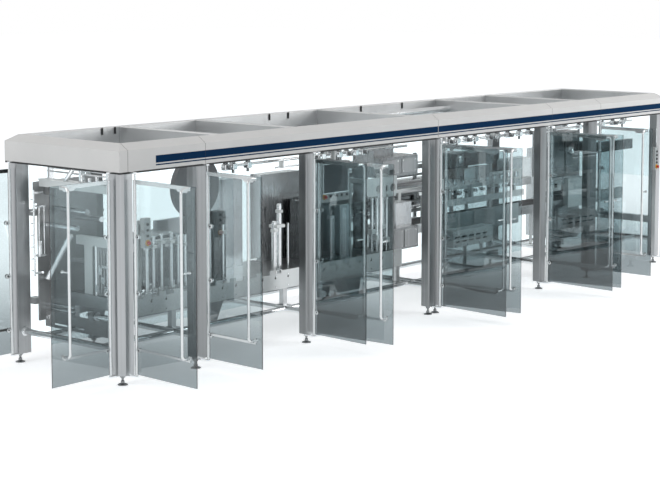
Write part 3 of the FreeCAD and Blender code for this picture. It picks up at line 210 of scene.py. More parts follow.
handling, start, end = effect_group(
    "handling_marks", (("Vector", "NodeSocketVector", None), ("Size", "NodeSocketFloat", 3.0),
                       ("Amount", "NodeSocketFloat", 0.3)),
    (("Cloud", "NodeSocketFloat"), ("Wipe", "NodeSocketFloat")))
cloud = handling.nodes.new("ShaderNodeTexNoise")
cloud.inputs["Detail"].default_value = 5.0
cloud.inputs["Roughness"].default_value = 0.6
spread = handling.nodes.new("ShaderNodeMapRange")
spread.inputs["From Min"].default_value = 0.35
spread.inputs["From Max"].default_value = 0.7
wipe = handling.nodes.new("ShaderNodeMath")
wipe.operation = "MULTIPLY"
handling.links.new(start.outputs["Vector"], cloud.inputs["Vector"])
handling.links.new(start.outputs["Size"], cloud.inputs["Scale"])
handling.links.new(cloud.outputs["Fac"], spread.inputs["Value"])
handling.links.new(spread.outputs["Result"], wipe.inputs[0])
handling.links.new(start.outputs["Amount"], wipe.inputs[1])
handling.links.new(spread.outputs["Result"], end.inputs["Cloud"])
handling.links.new(wipe.outputs[0], end.inputs["Wipe"])

STREAK_SHARE = 0.6
GRAIN_GLOSS = 0.10
RIDGE_DEPTH = 0.001


def steel(name, dark, light, rough, stretch, bump=0.2, metallic=1.0, marks=0.10, cloud_size=2.5):
    """Metal finish: grain along one way, cloudy handling marks, colour between dark and light."""
    made = bpy.data.materials.new(name)
    made.use_nodes = True
    nodes, links = made.node_tree.nodes, made.node_tree.links
    shader = nodes["Principled BSDF"]
    shader.inputs["Metallic"].default_value = metallic
    where = nodes.new("ShaderNodeTexCoord")
    grain = nodes.new("ShaderNodeGroup")
    grain.node_tree = brushing
    grain.inputs["Stretch"].default_value = stretch
    marked = nodes.new("ShaderNodeGroup")
    marked.node_tree = handling
    marked.inputs["Size"].default_value = cloud_size
    marked.inputs["Amount"].default_value = marks
    blend = nodes.new("ShaderNodeMath")
    blend.operation = "MULTIPLY_ADD"
    blend.inputs[1].default_value = STREAK_SHARE
    tone = nodes.new("ShaderNodeMix")
    tone.data_type = "RGBA"
    tone.inputs["A"].default_value = (*dark, 1)
    tone.inputs["B"].default_value = (*light, 1)
    gloss = nodes.new("ShaderNodeMath")
    gloss.operation = "MULTIPLY_ADD"
    gloss.inputs[1].default_value = GRAIN_GLOSS
    gloss.inputs[2].default_value = rough - GRAIN_GLOSS / 2
    total = nodes.new("ShaderNodeMath")
    links.new(where.outputs["Object"], grain.inputs["Vector"])
    links.new(where.outputs["Object"], marked.inputs["Vector"])
    links.new(grain.outputs["Streak"], blend.inputs[0])
    links.new(marked.outputs["Wipe"], blend.inputs[2])
    links.new(blend.outputs[0], tone.inputs["Factor"])
    links.new(tone.outputs["Result"], shader.inputs["Base Color"])
    links.new(grain.outputs["Grain"], gloss.inputs[0])
    links.new(gloss.outputs[0], total.inputs[0])
    links.new(marked.outputs["Wipe"], total.inputs[1])
    links.new(total.outputs[0], shader.inputs["Roughness"])
    if bump:
        ridge = nodes.new("ShaderNodeBump")
        ridge.inputs["Strength"].default_value = bump
        ridge.inputs["Distance"].default_value = RIDGE_DEPTH
        links.new(grain.outputs["Grain"], ridge.inputs["Height"])
        links.new(ridge.outputs[0], shader.inputs["Normal"])
    return made


def dress(node, finish):
    """Give a CAD node its finish."""
    frame["nodes"][node].data.materials.clear()
    frame["nodes"][node].data.materials.append(finish)


UPRIGHT_GRAIN = (500, 500, 5)
brushed_stainless = steel("brushed_stainless", (0.32, 0.33, 0.34), (0.60, 0.615, 0.62), 0.30, UPRIGHT_GRAIN)
# shaded_stainless is a darker copy of brushed_stainless: painted shade, worn by the inner columns here and
# by the feet, lock nuts, rear guide rails and cover plates below.
shaded_stainless = steel("shaded_stainless", (0.20, 0.21, 0.215), (0.40, 0.41, 0.415), 0.30, UPRIGHT_GRAIN)
dress("corner_columns", brushed_stainless)
dress("inner_columns", shaded_stainless)

# Levelling feet: turned stainless discs with a ball joint.  A hexagon lock nut is screwed up
# the stem against the column's foot plate.
polished_steel = steel("polished_steel", (0.72, 0.74, 0.75), (0.92, 0.94, 0.95), 0.15, (60, 60, 60),
                       bump=0)
for node in ("base_cross_tubes", "base_long_tubes", "hinge_brackets", "guard_clamps",
             "guide_columns", "guide_rollers", "overhead_pipe"):
    dress(node, polished_steel)
dress("levelling_feet", shaded_stainless)
COLUMN_LINES = (0.0, 0.980, 2.630, 4.732, 4.866, 6.981, 8.081, 9.722)
COLUMN_ROWS = (0.0, 1.545)
NUT_LOW, NUT_TOP, NUT_WIDTH = 0.074, 0.0985, 0.054
END_FACE = 0.9
SMOOTH_BELOW = math.radians(38)


def turned(start, end, width, sides=20, edge=0.0015):
    """Round or many-sided bar between two points, with its sharp edges broken."""
    start, end = Vector(start), Vector(end)
    run = end - start
    bpy.ops.object.select_all(action="DESELECT")
    turn = Vector((0, 0, 1)).rotation_difference(run)
    bpy.ops.mesh.primitive_cylinder_add(vertices=sides, radius=width / 2, depth=run.length,
                                        location=(start + end) / 2, rotation=turn.to_euler())
    piece = bpy.context.object
    bpy.ops.object.transform_apply(location=True, rotation=True, scale=True)
    along = run.normalized()
    bpy.ops.object.mode_set(mode="EDIT")
    bpy.ops.mesh.select_all(action="DESELECT")
    form = bmesh.from_edit_mesh(piece.data)
    for line in form.edges:
        if len(line.link_faces) == 2 and sum(abs(f.normal.dot(along)) for f in line.link_faces) > END_FACE:
            line.select = True
    bmesh.update_edit_mesh(piece.data)
    bpy.ops.mesh.bevel(offset=edge, segments=2, affect="EDGES", clamp_overlap=True)
    bpy.ops.object.mode_set(mode="OBJECT")
    bpy.ops.object.shade_smooth_by_angle(angle=SMOOTH_BELOW)
    return piece


def block(low, high, edge=0.002):
    """Machined block between two corners, with its edges broken."""
    low, high = Vector(low), Vector(high)
    bpy.ops.object.select_all(action="DESELECT")
    bpy.ops.mesh.primitive_cube_add(size=1, location=(low + high) / 2)
    piece = bpy.context.object
    piece.scale = high - low
    bpy.ops.object.transform_apply(location=True, rotation=True, scale=True)
    bpy.ops.object.mode_set(mode="EDIT")
    bpy.ops.mesh.select_all(action="SELECT")
    bpy.ops.mesh.bevel(offset=edge, segments=2, affect="EDGES", clamp_overlap=True)
    bpy.ops.object.mode_set(mode="OBJECT")
    return piece


def copied(piece, move):
    """Copy of a piece with its own mesh, shifted."""
    twin = piece.copy()
    twin.data = piece.data.copy()
    scene.collection.objects.link(twin)
    twin.data.transform(Matrix.Translation(Vector(move)))
    return twin


def assembled(name, parts, finish, body="machine"):
    """Join the parts to one piece with one finish, and fix it to its body."""
    bpy.ops.object.select_all(action="DESELECT")
    for part in parts:
        part.select_set(True)
    bpy.context.view_layer.objects.active = parts[0]
    if len(parts) > 1:
        bpy.ops.object.join()
    piece = bpy.context.view_layer.objects.active
    piece.name = name
    piece.data.name = name
    piece.data.materials.clear()
    piece.data.materials.append(finish)
    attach(piece, body)
    bpy.ops.object.select_all(action="DESELECT")
    return piece


nut = turned((0, 0, NUT_LOW), (0, 0, NUT_TOP), NUT_WIDTH, 6, 0.002)
nuts = [copied(nut, (x, y, 0)) for x in COLUMN_LINES for y in COLUMN_ROWS]
bpy.data.objects.remove(nut)
assembled("foot_lock_nuts", nuts, shaded_stainless)

# Canopy: a ring of folded sheet girders in off-white powder coat, which has a fine orange
# peel.  The cross beams between them have the same coat, darkened to grey as painted shade.
coat_peel, start, end = effect_group(
    "orange_peel", (("Vector", "NodeSocketVector", None),), (("Height", "NodeSocketFloat"),))
peel = coat_peel.nodes.new("ShaderNodeTexNoise")
peel.inputs["Scale"].default_value = 420.0
peel.inputs["Detail"].default_value = 1.0
coat_peel.links.new(start.outputs["Vector"], peel.inputs["Vector"])
coat_peel.links.new(peel.outputs["Fac"], end.inputs["Height"])
PEEL_DEPTH = 0.0006
COAT_CLOUD_SIZE = 1.4
COAT_GLOSS_SPREAD = 0.08


def powder_coat(name, colour, rough, bump=0.08, marks=0.06):
    """Painted sheet: flat colour with faint cloudiness and a fine peel."""
    made = bpy.data.materials.new(name)
    made.use_nodes = True
    nodes, links = made.node_tree.nodes, made.node_tree.links
    shader = nodes["Principled BSDF"]
    where = nodes.new("ShaderNodeTexCoord")
    marked = nodes.new("ShaderNodeGroup")
    marked.node_tree = handling
    marked.inputs["Size"].default_value = COAT_CLOUD_SIZE
    marked.inputs["Amount"].default_value = 1.0
    tone = nodes.new("ShaderNodeMix")
    tone.data_type = "RGBA"
    tone.inputs["A"].default_value = (*colour, 1)
    tone.inputs["B"].default_value = (*[c * (1 - marks) for c in colour], 1)
    gloss = nodes.new("ShaderNodeMath")
    gloss.operation = "MULTIPLY_ADD"
    gloss.inputs[1].default_value = COAT_GLOSS_SPREAD
    gloss.inputs[2].default_value = rough
    peel = nodes.new("ShaderNodeGroup")
    peel.node_tree = coat_peel
    dimple = nodes.new("ShaderNodeBump")
    dimple.inputs["Strength"].default_value = bump
    dimple.inputs["Distance"].default_value = PEEL_DEPTH
    links.new(where.outputs["Object"], marked.inputs["Vector"])
    links.new(where.outputs["Object"], peel.inputs["Vector"])
    links.new(marked.outputs["Cloud"], tone.inputs["Factor"])
    links.new(tone.outputs["Result"], shader.inputs["Base Color"])
    links.new(marked.outputs["Cloud"], gloss.inputs[0])
    links.new(gloss.outputs[0], shader.inputs["Roughness"])
    links.new(peel.outputs["Height"], dimple.inputs["Height"])
    links.new(dimple.outputs[0], shader.inputs["Normal"])
    return made


canopy_paint = powder_coat("canopy_paint", (0.60, 0.60, 0.59), 0.34)
canopy_inner_paint = powder_coat("canopy_inner_paint", (0.50, 0.51, 0.515), 0.45)
for node in ("canopy_front", "canopy_rear", "canopy_ends"):
    dress(node, canopy_paint)
dress("canopy_cross_beams", canopy_inner_paint)
joint_black = powder_coat("joint_black", (0.018, 0.019, 0.02), 0.6)
dress("canopy_joint_strips", joint_black)

# Canopy shade sheets: grey steel sheets on the inner walls of the rear and right girders and on
# the cross beams, which darken these walls as painted shade, below a white rim strip that is a
# painted highlight along their top edges.  A black rail runs under the front and left girders,
# its black partly its own and partly painted shadow under the fascia, and black cable pins stand
# on the rear wall.
SHADE_SHEET_T, RIM_T, SHEET_EDGE, SEAM = 0.0015, 0.002, 0.0004, 0.002
BEAM_LINES = (1.365, 2.490, 4.510, 6.796, 7.886)
BEAM_HALF, BEAM_RIM = 0.015, 0.014
INNER_LEFT, INNER_RIGHT, INNER_FRONT, INNER_REAR = 0.036, 9.686, 0.036, 1.509
SHADE_SHEET_LOW, RIM_LOW, RIM_HIGH = 2.066, 2.312, 2.3255
PIN_LINES = (1.10, 1.28, 3.66, 3.98, 5.30, 6.10)
UNDER_LOW, UNDER_TOP = 2.042, 2.0605
beam_low, beam_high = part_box("canopy_cross_beams")
shade_sheet_steel = steel("shade_sheet_steel", (0.44, 0.45, 0.455), (0.80, 0.81, 0.815), 0.36, (6, 6, 90))
left_walls = (INNER_LEFT,) + tuple(x + BEAM_HALF for x in BEAM_LINES)
right_walls = tuple(x - BEAM_HALF for x in BEAM_LINES) + (INNER_RIGHT,)
shade_sheets = [block((x0 + SEAM, INNER_REAR - SHADE_SHEET_T, SHADE_SHEET_LOW), (x1 - SEAM, INNER_REAR, RIM_LOW), SHEET_EDGE)
          for x0, x1 in zip(left_walls, right_walls)]
shade_sheets += [block((x - SHADE_SHEET_T, INNER_FRONT + SEAM, beam_low[2] + 0.004),
                 (x, INNER_REAR - SEAM, beam_high[2] - BEAM_RIM), SHEET_EDGE) for x in right_walls]
assembled("canopy_shade_sheets", shade_sheets, shade_sheet_steel)
# The white rim strips are a painted highlight along the top edges of the walls.
highlight_rims = [block((x0 + SEAM, INNER_REAR - RIM_T, RIM_LOW), (x1 - SEAM, INNER_REAR, RIM_HIGH), SHEET_EDGE)
        for x0, x1 in zip(left_walls, right_walls)]
highlight_rims += [block((x - RIM_T, INNER_FRONT + SEAM, beam_high[2] - BEAM_RIM),
               (x, INNER_REAR - SEAM, beam_high[2] - 0.0005), SHEET_EDGE) for x in right_walls]
rim_highlight_paint = powder_coat("rim_highlight_paint", (0.88, 0.88, 0.87), 0.3)
assembled("canopy_highlight_rims", highlight_rims, rim_highlight_paint)
# This rail's black is partly its own and partly painted shadow under the fascia.
under = [block((-0.082, -0.0855, UNDER_LOW), (9.804, -0.0815, UNDER_TOP), SHEET_EDGE),
         block((-0.0855, -0.082, UNDER_LOW), (-0.0815, 1.627, UNDER_TOP), SHEET_EDGE)]
assembled("canopy_under_rail", under, joint_black)
pins = [block((x - 0.008, INNER_REAR - 0.016, 2.245), (x + 0.008, INNER_REAR - SHADE_SHEET_T, 2.318), 0.002)
        for x in PIN_LINES]
assembled("canopy_cable_pins", pins, joint_black)

# Fascia stripe: a wide and a narrow band of navy film along the canopy's front face, left
# off at the two ends, where the face stays bare.
FASCIA_Y = -0.086
STRIPE_START, STRIPE_END = 0.38, 9.76
STRIPE_BANDS = ((2.120, 2.191), (2.094, 2.107))
MODULE_LEFT, MODULE_RIGHT = 4.794, 4.804
FILM_T, FILM_EDGE = 0.0006, 0.0002
navy_film = powder_coat("navy_film", (0.001, 0.024, 0.072), 0.45, 0.03)
navy_film.node_tree.nodes["Principled BSDF"].inputs["Specular IOR Level"].default_value = 0.03
bands = [block((x0, FASCIA_Y - FILM_T, low), (x1, FASCIA_Y, high), FILM_EDGE)
         for low, high in STRIPE_BANDS
         for x0, x1 in ((STRIPE_START, MODULE_LEFT), (MODULE_RIGHT, STRIPE_END))]
assembled("fascia_stripe", bands, navy_film)

# Fascia joints: the front girder is folded from several lengths, and each joint shows as a
# thin dark line down the face and over the slope.
JOINT_LINES = (0.020, 1.050, 7.110, 8.220)
JOINT_HALF, JOINT_FRONT, JOINT_BACK = 0.0015, FASCIA_Y - 0.0008, FASCIA_Y + 0.001
FASCIA_LOW, FASCIA_BREAK, FASCIA_TOP, SLOPE_IN = 2.060, 2.263, 2.326, 0.098
lines = []
for x in JOINT_LINES:
    x0, x1 = x - JOINT_HALF, x + JOINT_HALF
    lines.append(block((x0, JOINT_FRONT, FASCIA_LOW), (x1, JOINT_BACK, FASCIA_BREAK), FILM_EDGE))
    slope = block((x0, JOINT_FRONT, FASCIA_BREAK), (x1, JOINT_BACK, FASCIA_TOP), FILM_EDGE)
    for point in slope.data.vertices:
        point.co.y += (point.co.z - FASCIA_BREAK) / (FASCIA_TOP - FASCIA_BREAK) * SLOPE_IN
    lines.append(slope)
assembled("fascia_joint_lines", lines, joint_black)

# Door glass: grey-green toughened sheet with ground edges, darkened towards the floor by painted
# shade.  Its shadow is let through as light in its own tint.
GLASS_SHADE_LOW, GLASS_SHADE_HIGH = 0.15, 1.30


def tinted_shaded_glass(name, low, high, shadow, bend):
    """Toughened glass whose colour runs from low at the lower height to high at the upper height above the
    floor; the darker low part is painted shade.
    """
    made = bpy.data.materials.new(name)
    made.use_nodes = True
    nodes, links = made.node_tree.nodes, made.node_tree.links
    shader = nodes["Principled BSDF"]
    shader.inputs["Transmission Weight"].default_value = 1
    shader.inputs["IOR"].default_value = bend
    where = nodes.new("ShaderNodeTexCoord")
    split = nodes.new("ShaderNodeSeparateXYZ")
    rise = nodes.new("ShaderNodeMapRange")
    rise.interpolation_type = "SMOOTHSTEP"
    rise.inputs["From Min"].default_value = GLASS_SHADE_LOW
    rise.inputs["From Max"].default_value = GLASS_SHADE_HIGH
    marked = nodes.new("ShaderNodeGroup")
    marked.node_tree = handling
    marked.inputs["Size"].default_value = 2.2
    marked.inputs["Amount"].default_value = 0.02
    tone = nodes.new("ShaderNodeMix")
    tone.data_type = "RGBA"
    tone.inputs["A"].default_value = (*low, 1)
    tone.inputs["B"].default_value = (*high, 1)
    path = nodes.new("ShaderNodeLightPath")
    clear = nodes.new("ShaderNodeBsdfTransparent")
    clear.inputs["Color"].default_value = (*shadow, 1)
    mix = nodes.new("ShaderNodeMixShader")
    links.new(where.outputs["Object"], marked.inputs["Vector"])
    links.new(where.outputs["Object"], split.inputs[0])
    links.new(split.outputs["Z"], rise.inputs["Value"])
    links.new(rise.outputs["Result"], tone.inputs["Factor"])
    links.new(tone.outputs["Result"], shader.inputs["Base Color"])
    links.new(marked.outputs["Wipe"], shader.inputs["Roughness"])
    links.new(path.outputs["Is Shadow Ray"], mix.inputs["Fac"])
    links.new(shader.outputs[0], mix.inputs[1])
    links.new(clear.outputs[0], mix.inputs[2])
    links.new(mix.outputs[0], nodes["Material Output"].inputs["Surface"])
    return made


door_glass = tinted_shaded_glass("door_glass", (0.185, 0.215, 0.225), (0.56, 0.635, 0.65), (0.72, 0.77, 0.78), 1.62)
guard_glass = tinted_shaded_glass("guard_glass", (0.78, 0.85, 0.86), (0.88, 0.95, 0.96), (0.88, 0.93, 0.94), 1.45)
DOORS = [name for name in frame["bodies"] if name != "machine"]
for name in DOORS:
    dress(name + "_glass", door_glass)
dress("guard_panes", guard_glass)

# Door metalwork: satin anodised profiles, a bright round stile and a polished tube handle.
# Clamp plates with a socket screw grip the pane beside the stile.
door_metal = steel("door_metal", (0.60, 0.62, 0.625), (0.76, 0.775, 0.78), 0.20, (90, 90, 90),
                   bump=0, metallic=0.85, marks=0.06)
for name in DOORS:
    dress(name + "_metalwork", door_metal)
HINGES = {"door_1": (0.051, -0.147, 1, -92.7), "door_2": (1.015, -0.147, 1, -91.5),
          "door_3": (2.595, -0.147, -1, 86.4), "door_4": (2.665, -0.147, 1, -87.0),
          "door_5": (4.772, -0.147, -1, 86.0), "door_6": (4.866, -0.147, 1, -82.4),
          "door_7": (6.946, -0.147, -1, 87.2), "door_8": (7.016, -0.147, 1, -81.8),
          "door_9": (8.116, -0.147, 1, -88.6), "door_10": (9.687, -0.147, -1, 88.0),
          "end_door_front": (-0.125, 0.030, -1, -90 + 91.4),
          "end_door_rear": (-0.125, 1.515, 1, -90 - 90.0)}
CLAMP_LEVELS = (0.356, 0.905, 1.446)
CLAMP_X, CLAMP_D, CLAMP_T = 0.048, 0.046, 0.010
SCREW_D, SCREW_T, SCREW_EDGE = 0.016, 0.003, 0.0006
GLASS_HALF = 0.005
black_rubber = powder_coat("black_rubber", (0.02, 0.021, 0.022), 0.55)


def hung(parts, hinge):
    """Turn parts drawn on a leaf along +X onto the leaf's place."""
    x, y, hand, turn = hinge
    mirror = Matrix.Diagonal((hand, 1, 1, 1))
    place = Matrix.Translation((x, y, 0)) @ Matrix.Rotation(math.radians(turn), 4, "Z") @ mirror
    for part in parts:
        part.data.transform(place)
        if hand < 0:
            part.data.flip_normals()
    return parts


for name, hinge in HINGES.items():
    plates, screws = [], []
    for z in CLAMP_LEVELS:
        for side in (-1, 1):
            face = side * GLASS_HALF
            cover = face + side * CLAMP_T
            top = cover + side * SCREW_T
            plates.append(turned((CLAMP_X, face, z), (CLAMP_X, cover, z), CLAMP_D, 24))
            screws.append(turned((CLAMP_X, cover, z), (CLAMP_X, top, z), SCREW_D, 6, SCREW_EDGE))
    assembled(name + "_clamp_plates", hung(plates, hinge), door_metal, name)
    assembled(name + "_clamp_screws", hung(screws, hinge), black_rubber, name)

# Tube collars: the polished base tubes end in a flange that is bolted to the columns.
TUBE_Z = 0.330
FLANGE_D, FLANGE_T = 0.098, 0.012
COLUMN_HALVES = (0.080,) + (0.055,) * 7
flanges = []
for x, half in zip(COLUMN_LINES, COLUMN_HALVES):
    for y, side in ((half, 1), (COLUMN_ROWS[1] - half, -1)):
        flanges.append(turned((x, y, TUBE_Z), (x, y + side * FLANGE_T, TUBE_Z), FLANGE_D, 28))
assembled("tube_flanges", flanges, polished_steel)

# Machine bed: a front plate of blasted light alloy with a row of tabs and holes, screwed to
# the bed beams.  The frame, deck and chutes are satin stainless.
machined_plate = steel("machined_plate", (0.64, 0.67, 0.67), (0.84, 0.87, 0.87), 0.34, (30, 30, 30),
                       bump=0.06, metallic=0.3, marks=0.15)
satin_stainless = steel("satin_stainless", (0.40, 0.415, 0.42), (0.66, 0.68, 0.685), 0.28, (8, 220, 220))
for node in ("bed_front_plate", "forming_portal", "sealing_bracket", "transfer_rails", "drive_box"):
    dress(node, machined_plate)
for node in ("bed_frame", "bed_deck", "discharge_chutes", "conveyor_frame"):
    dress(node, satin_stainless)
BED_Y = 0.300
BED_PITCH = 0.200
SCREW_START, SCREW_LEVELS = 0.470, (0.585, 0.700)
HOLE_START, HOLE_Z, HOLE_D = 0.670, 0.681, 0.0235
screw = turned((0, BED_Y - 0.007, 0), (0, BED_Y, 0), 0.018, 6, 0.001)
heads = [copied(screw, (SCREW_START + BED_PITCH * k, 0, z)) for k in range(21) for z in SCREW_LEVELS]
bpy.data.objects.remove(screw)
assembled("bed_plate_screws", heads, polished_steel)
# The black discs sit just behind the plate's face, in its row of holes: painted shade that darkens the
# holes.
hole_places = [HOLE_START + BED_PITCH * k for k in range(19)]
hole_shades = [turned((x, BED_Y + 0.0015, HOLE_Z), (x, BED_Y + 0.006, HOLE_Z), HOLE_D, 20, 0.0004)
         for x in hole_places]
assembled("bed_plate_hole_shades", hole_shades, joint_black)

# Film end: back panel and apron plate of satin sheet, with the cabinets' brushed sheet.  A
# valve knob stands on the apron, a gas spring with two thin rods is clamped beside the turning
# bar, and a plate with small gauges hangs on the portal.
SHEET_GRAIN = (160, 160, 3)
cabinet_steel = steel("cabinet_steel", (0.38, 0.39, 0.40), (0.56, 0.575, 0.58), 0.24, SHEET_GRAIN,
                      bump=0.03, marks=0.05, cloud_size=0.8)
dark_cabinet = steel("dark_cabinet", (0.16, 0.17, 0.175), (0.32, 0.335, 0.34), 0.22, (120, 120, 4),
                     bump=0.03, metallic=0.8, marks=0.08, cloud_size=0.9)
for node in ("rear_cabinets", "drive_guard", "reel_stand"):
    dress(node, cabinet_steel)
panel_steel = steel("panel_steel", (0.27, 0.28, 0.285), (0.50, 0.515, 0.52), 0.36, SHEET_GRAIN,
                    bump=0.03, metallic=0.6)
dress("film_back_panel", panel_steel)
dress("forming_cabinet", dark_cabinet)
SPRING_Y, SPRING_BREAK, SPRING_TOP = 1.330, 1.254, 1.600
spring = [turned((0.103, SPRING_Y, 1.106), (0.103, SPRING_Y, SPRING_BREAK), 0.046),
          turned((0.095, SPRING_Y, SPRING_BREAK), (0.095, SPRING_Y, SPRING_TOP), 0.016, 12),
          turned((0.160, SPRING_Y, 1.110), (0.160, SPRING_Y, SPRING_TOP), 0.014, 12),
          block((0.085, 1.318, 1.592), (0.175, 1.380, 1.612)),
          block((0.085, 1.318, 1.090), (0.175, 1.380, 1.112))]
assembled("tension_spring", spring, polished_steel)
KNOB_Y, KNOB_Z = 1.300, 0.470
knob = [turned((0.170, KNOB_Y, KNOB_Z), (0.200, KNOB_Y, KNOB_Z), 0.046, 24, 0.004),
        turned((0.150, KNOB_Y, KNOB_Z), (0.172, KNOB_Y, KNOB_Z), 0.030, 24, 0.003)]
assembled("apron_knob", knob, door_metal)
gauges = []
for k in range(4):
    y, z = 0.650 + 0.045 * k, 0.755 + 0.09 * (k % 3)
    gauges.append(block((0.385, y, z), (0.400, y + 0.035, z + 0.07)))
gauges += [turned((0.380, y, 1.02), (0.398, y, 1.02), 0.036) for y in (0.665, 0.715, 0.765)]
gauges += [turned((0.390, y, 0.74), (0.390, y, 1.18), 0.010, 10) for y in (0.655, 0.695, 0.735, 0.775)]
assembled("portal_gauges", gauges, door_metal)
gauge_plate = block((0.400, 0.652, 0.722), (0.405, 0.816, 1.212))
assembled("portal_gauge_plate", [gauge_plate], panel_steel)

# Film reel: packing film wound on a core, held on the reel stand.  The wound edge shows fine
# rings round its hub.
REEL_CENTRE = (1.736, 0.735, 1.700)
RING_SCALE = 26.0
film = bpy.data.materials.new("film")
film.use_nodes = True
tree = film.node_tree
shader = tree.nodes["Principled BSDF"]
where = tree.nodes.new("ShaderNodeTexCoord")
hub = tree.nodes.new("ShaderNodeMapping")
hub.vector_type = "TEXTURE"
hub.inputs["Location"].default_value = REEL_CENTRE
rings = tree.nodes.new("ShaderNodeTexWave")
rings.wave_type = "RINGS"
rings.rings_direction = "Y"
rings.inputs["Scale"].default_value = RING_SCALE
rings.inputs["Distortion"].default_value = 0.4
tone = tree.nodes.new("ShaderNodeMix")
tone.data_type = "RGBA"
tone.inputs["A"].default_value = (0.10, 0.11, 0.115, 1)
tone.inputs["B"].default_value = (0.24, 0.25, 0.26, 1)
tree.links.new(where.outputs["Object"], hub.inputs["Vector"])
tree.links.new(hub.outputs[0], rings.inputs["Vector"])
tree.links.new(rings.outputs["Fac"], tone.inputs["Factor"])
tree.links.new(tone.outputs["Result"], shader.inputs["Base Color"])
shader.inputs["Roughness"].default_value = 0.32
shader.inputs["Metallic"].default_value = 0.3
dress("film_reel", film)

# Forming station: the chrome posts carry split clamps and cross bars.  Each post stands in a
# round flange and ends in a cap, and small jaws sit between the posts and the housing.
POST_Y = 0.450
DECK = 0.720
POSTS = ((0.753, 1.288), (0.838, 1.288), (0.950, 1.300), (1.084, 1.310), (1.179, 1.270),
         (1.278, 1.265), (1.831, 1.305), (2.612, 1.258), (2.690, 1.440))
HOUSING_Y = 0.600
BAR_Z = 1.225
clamps, caps = [], []
for number, (x, top) in enumerate(POSTS):
    low = top - 0.085 - 0.02 * (number % 2)
    clamps.append(block((x - 0.030, POST_Y - 0.030, low), (x + 0.030, POST_Y + 0.030, low + 0.034), 0.003))
    caps.append(turned((x, POST_Y, top), (x, POST_Y, top + 0.014), 0.050))
    caps.append(turned((x, POST_Y, DECK), (x, POST_Y, DECK + 0.016), 0.074))
assembled("post_clamps", clamps, machined_plate)
assembled("post_caps", caps, polished_steel)
bars = [turned((0.735, POST_Y + 0.042, BAR_Z), (1.300, POST_Y + 0.042, BAR_Z), 0.024, 16),
        turned((0.700, POST_Y + 0.070, 1.243), (1.330, POST_Y + 0.070, 1.243), 0.018, 16),
        block((0.735, POST_Y + 0.060, 0.720), (1.330, POST_Y + 0.120, 0.752)),
        block((2.590, POST_Y - 0.060, 1.200), (2.720, POST_Y + 0.060, 1.232))]
bars += [turned((x, POST_Y + 0.030, BAR_Z), (x, HOUSING_Y, BAR_Z), 0.020, 14) for x in (0.79, 0.99, 1.21)]
assembled("post_cross_bars", bars, machined_plate)
jaws = []
for k in range(5):
    x = 0.69 + 0.135 * k
    jaws.append(block((x, 0.500, 0.735), (x + 0.09, HOUSING_Y, 0.765 + 0.05 * (k % 2)), 0.004))
for k in range(4):
    x = 0.66 + 0.15 * k
    jaws.append(block((x, 0.560, 1.15), (x + 0.08, HOUSING_Y, 1.235), 0.004))
assembled("forming_jaws", jaws, door_metal)

# Overhead line: air and product tubes hang under the canopy's front side, with valves,
# actuators and pipe clamps along them.
LINE_Y = 0.300
VALVE_LOW, VALVE_HIGH = 1.908, 1.972
tubes = [turned((1.670, LINE_Y, 1.950), (4.700, LINE_Y, 1.950), 0.030, 24),
         turned((2.520, LINE_Y + 0.05, 1.866), (3.300, LINE_Y + 0.05, 1.866), 0.020, 20),
         turned((5.000, LINE_Y, 1.940), (9.600, LINE_Y, 1.940), 0.034, 24),
         turned((5.300, LINE_Y + 0.10, 1.985), (7.600, LINE_Y + 0.10, 1.985), 0.020, 20)]
hangers = []
for x in (1.80, 3.30, 4.40, 5.20, 6.40, 7.50, 8.60, 9.45):
    hangers.append(block((x - 0.012, INNER_FRONT, 2.064), (x + 0.012, LINE_Y + 0.012, 2.080)))
    hangers.append(block((x - 0.012, LINE_Y - 0.012, 1.935), (x + 0.012, LINE_Y + 0.012, 2.066)))
hangers += [block((x - 0.010, LINE_Y + 0.005, 1.860), (x + 0.010, LINE_Y + 0.060, 1.955))
            for x in (2.60, 3.20)]
hangers += [block((x - 0.010, LINE_Y + 0.005, 1.945), (x + 0.010, LINE_Y + 0.110, 1.992))
            for x in (5.45, 6.40, 7.50)]
assembled("overhead_tubes", tubes, polished_steel)
assembled("tube_hangers", hangers, machined_plate)
bodies, heads = [], []
UPRIGHT_VALVES = (1.83, 2.05, 3.22, 3.50, 3.78, 5.32, 5.66, 6.02, 6.48, 6.95, 7.42, 8.30, 8.85, 9.36)
FACING_VALVES = (1.72, 3.08, 3.36, 3.63, 3.90, 5.50, 5.84, 6.30, 6.70, 7.15, 7.62, 8.52, 9.12)
for x in sorted(UPRIGHT_VALVES + FACING_VALVES):
    bodies.append(block((x - 0.032, LINE_Y - 0.034, VALVE_LOW),
                        (x + 0.032, LINE_Y + 0.034, VALVE_HIGH), 0.006))
    if x in UPRIGHT_VALVES:
        heads.append(turned((x, LINE_Y, VALVE_HIGH), (x, LINE_Y, 2.028), 0.052, 24, 0.004))
        heads.append(turned((x, LINE_Y, 1.870), (x, LINE_Y, VALVE_LOW), 0.030, 16, 0.002))
    else:
        heads.append(turned((x, LINE_Y - 0.034, 1.94), (x, LINE_Y - 0.086, 1.94), 0.046, 24, 0.004))
        heads.append(block((x - 0.02, LINE_Y - 0.02, VALVE_HIGH), (x + 0.02, LINE_Y + 0.02, 2.010), 0.004))
assembled("valve_bodies", bodies, polished_steel)
assembled("valve_actuators", heads, dark_cabinet)

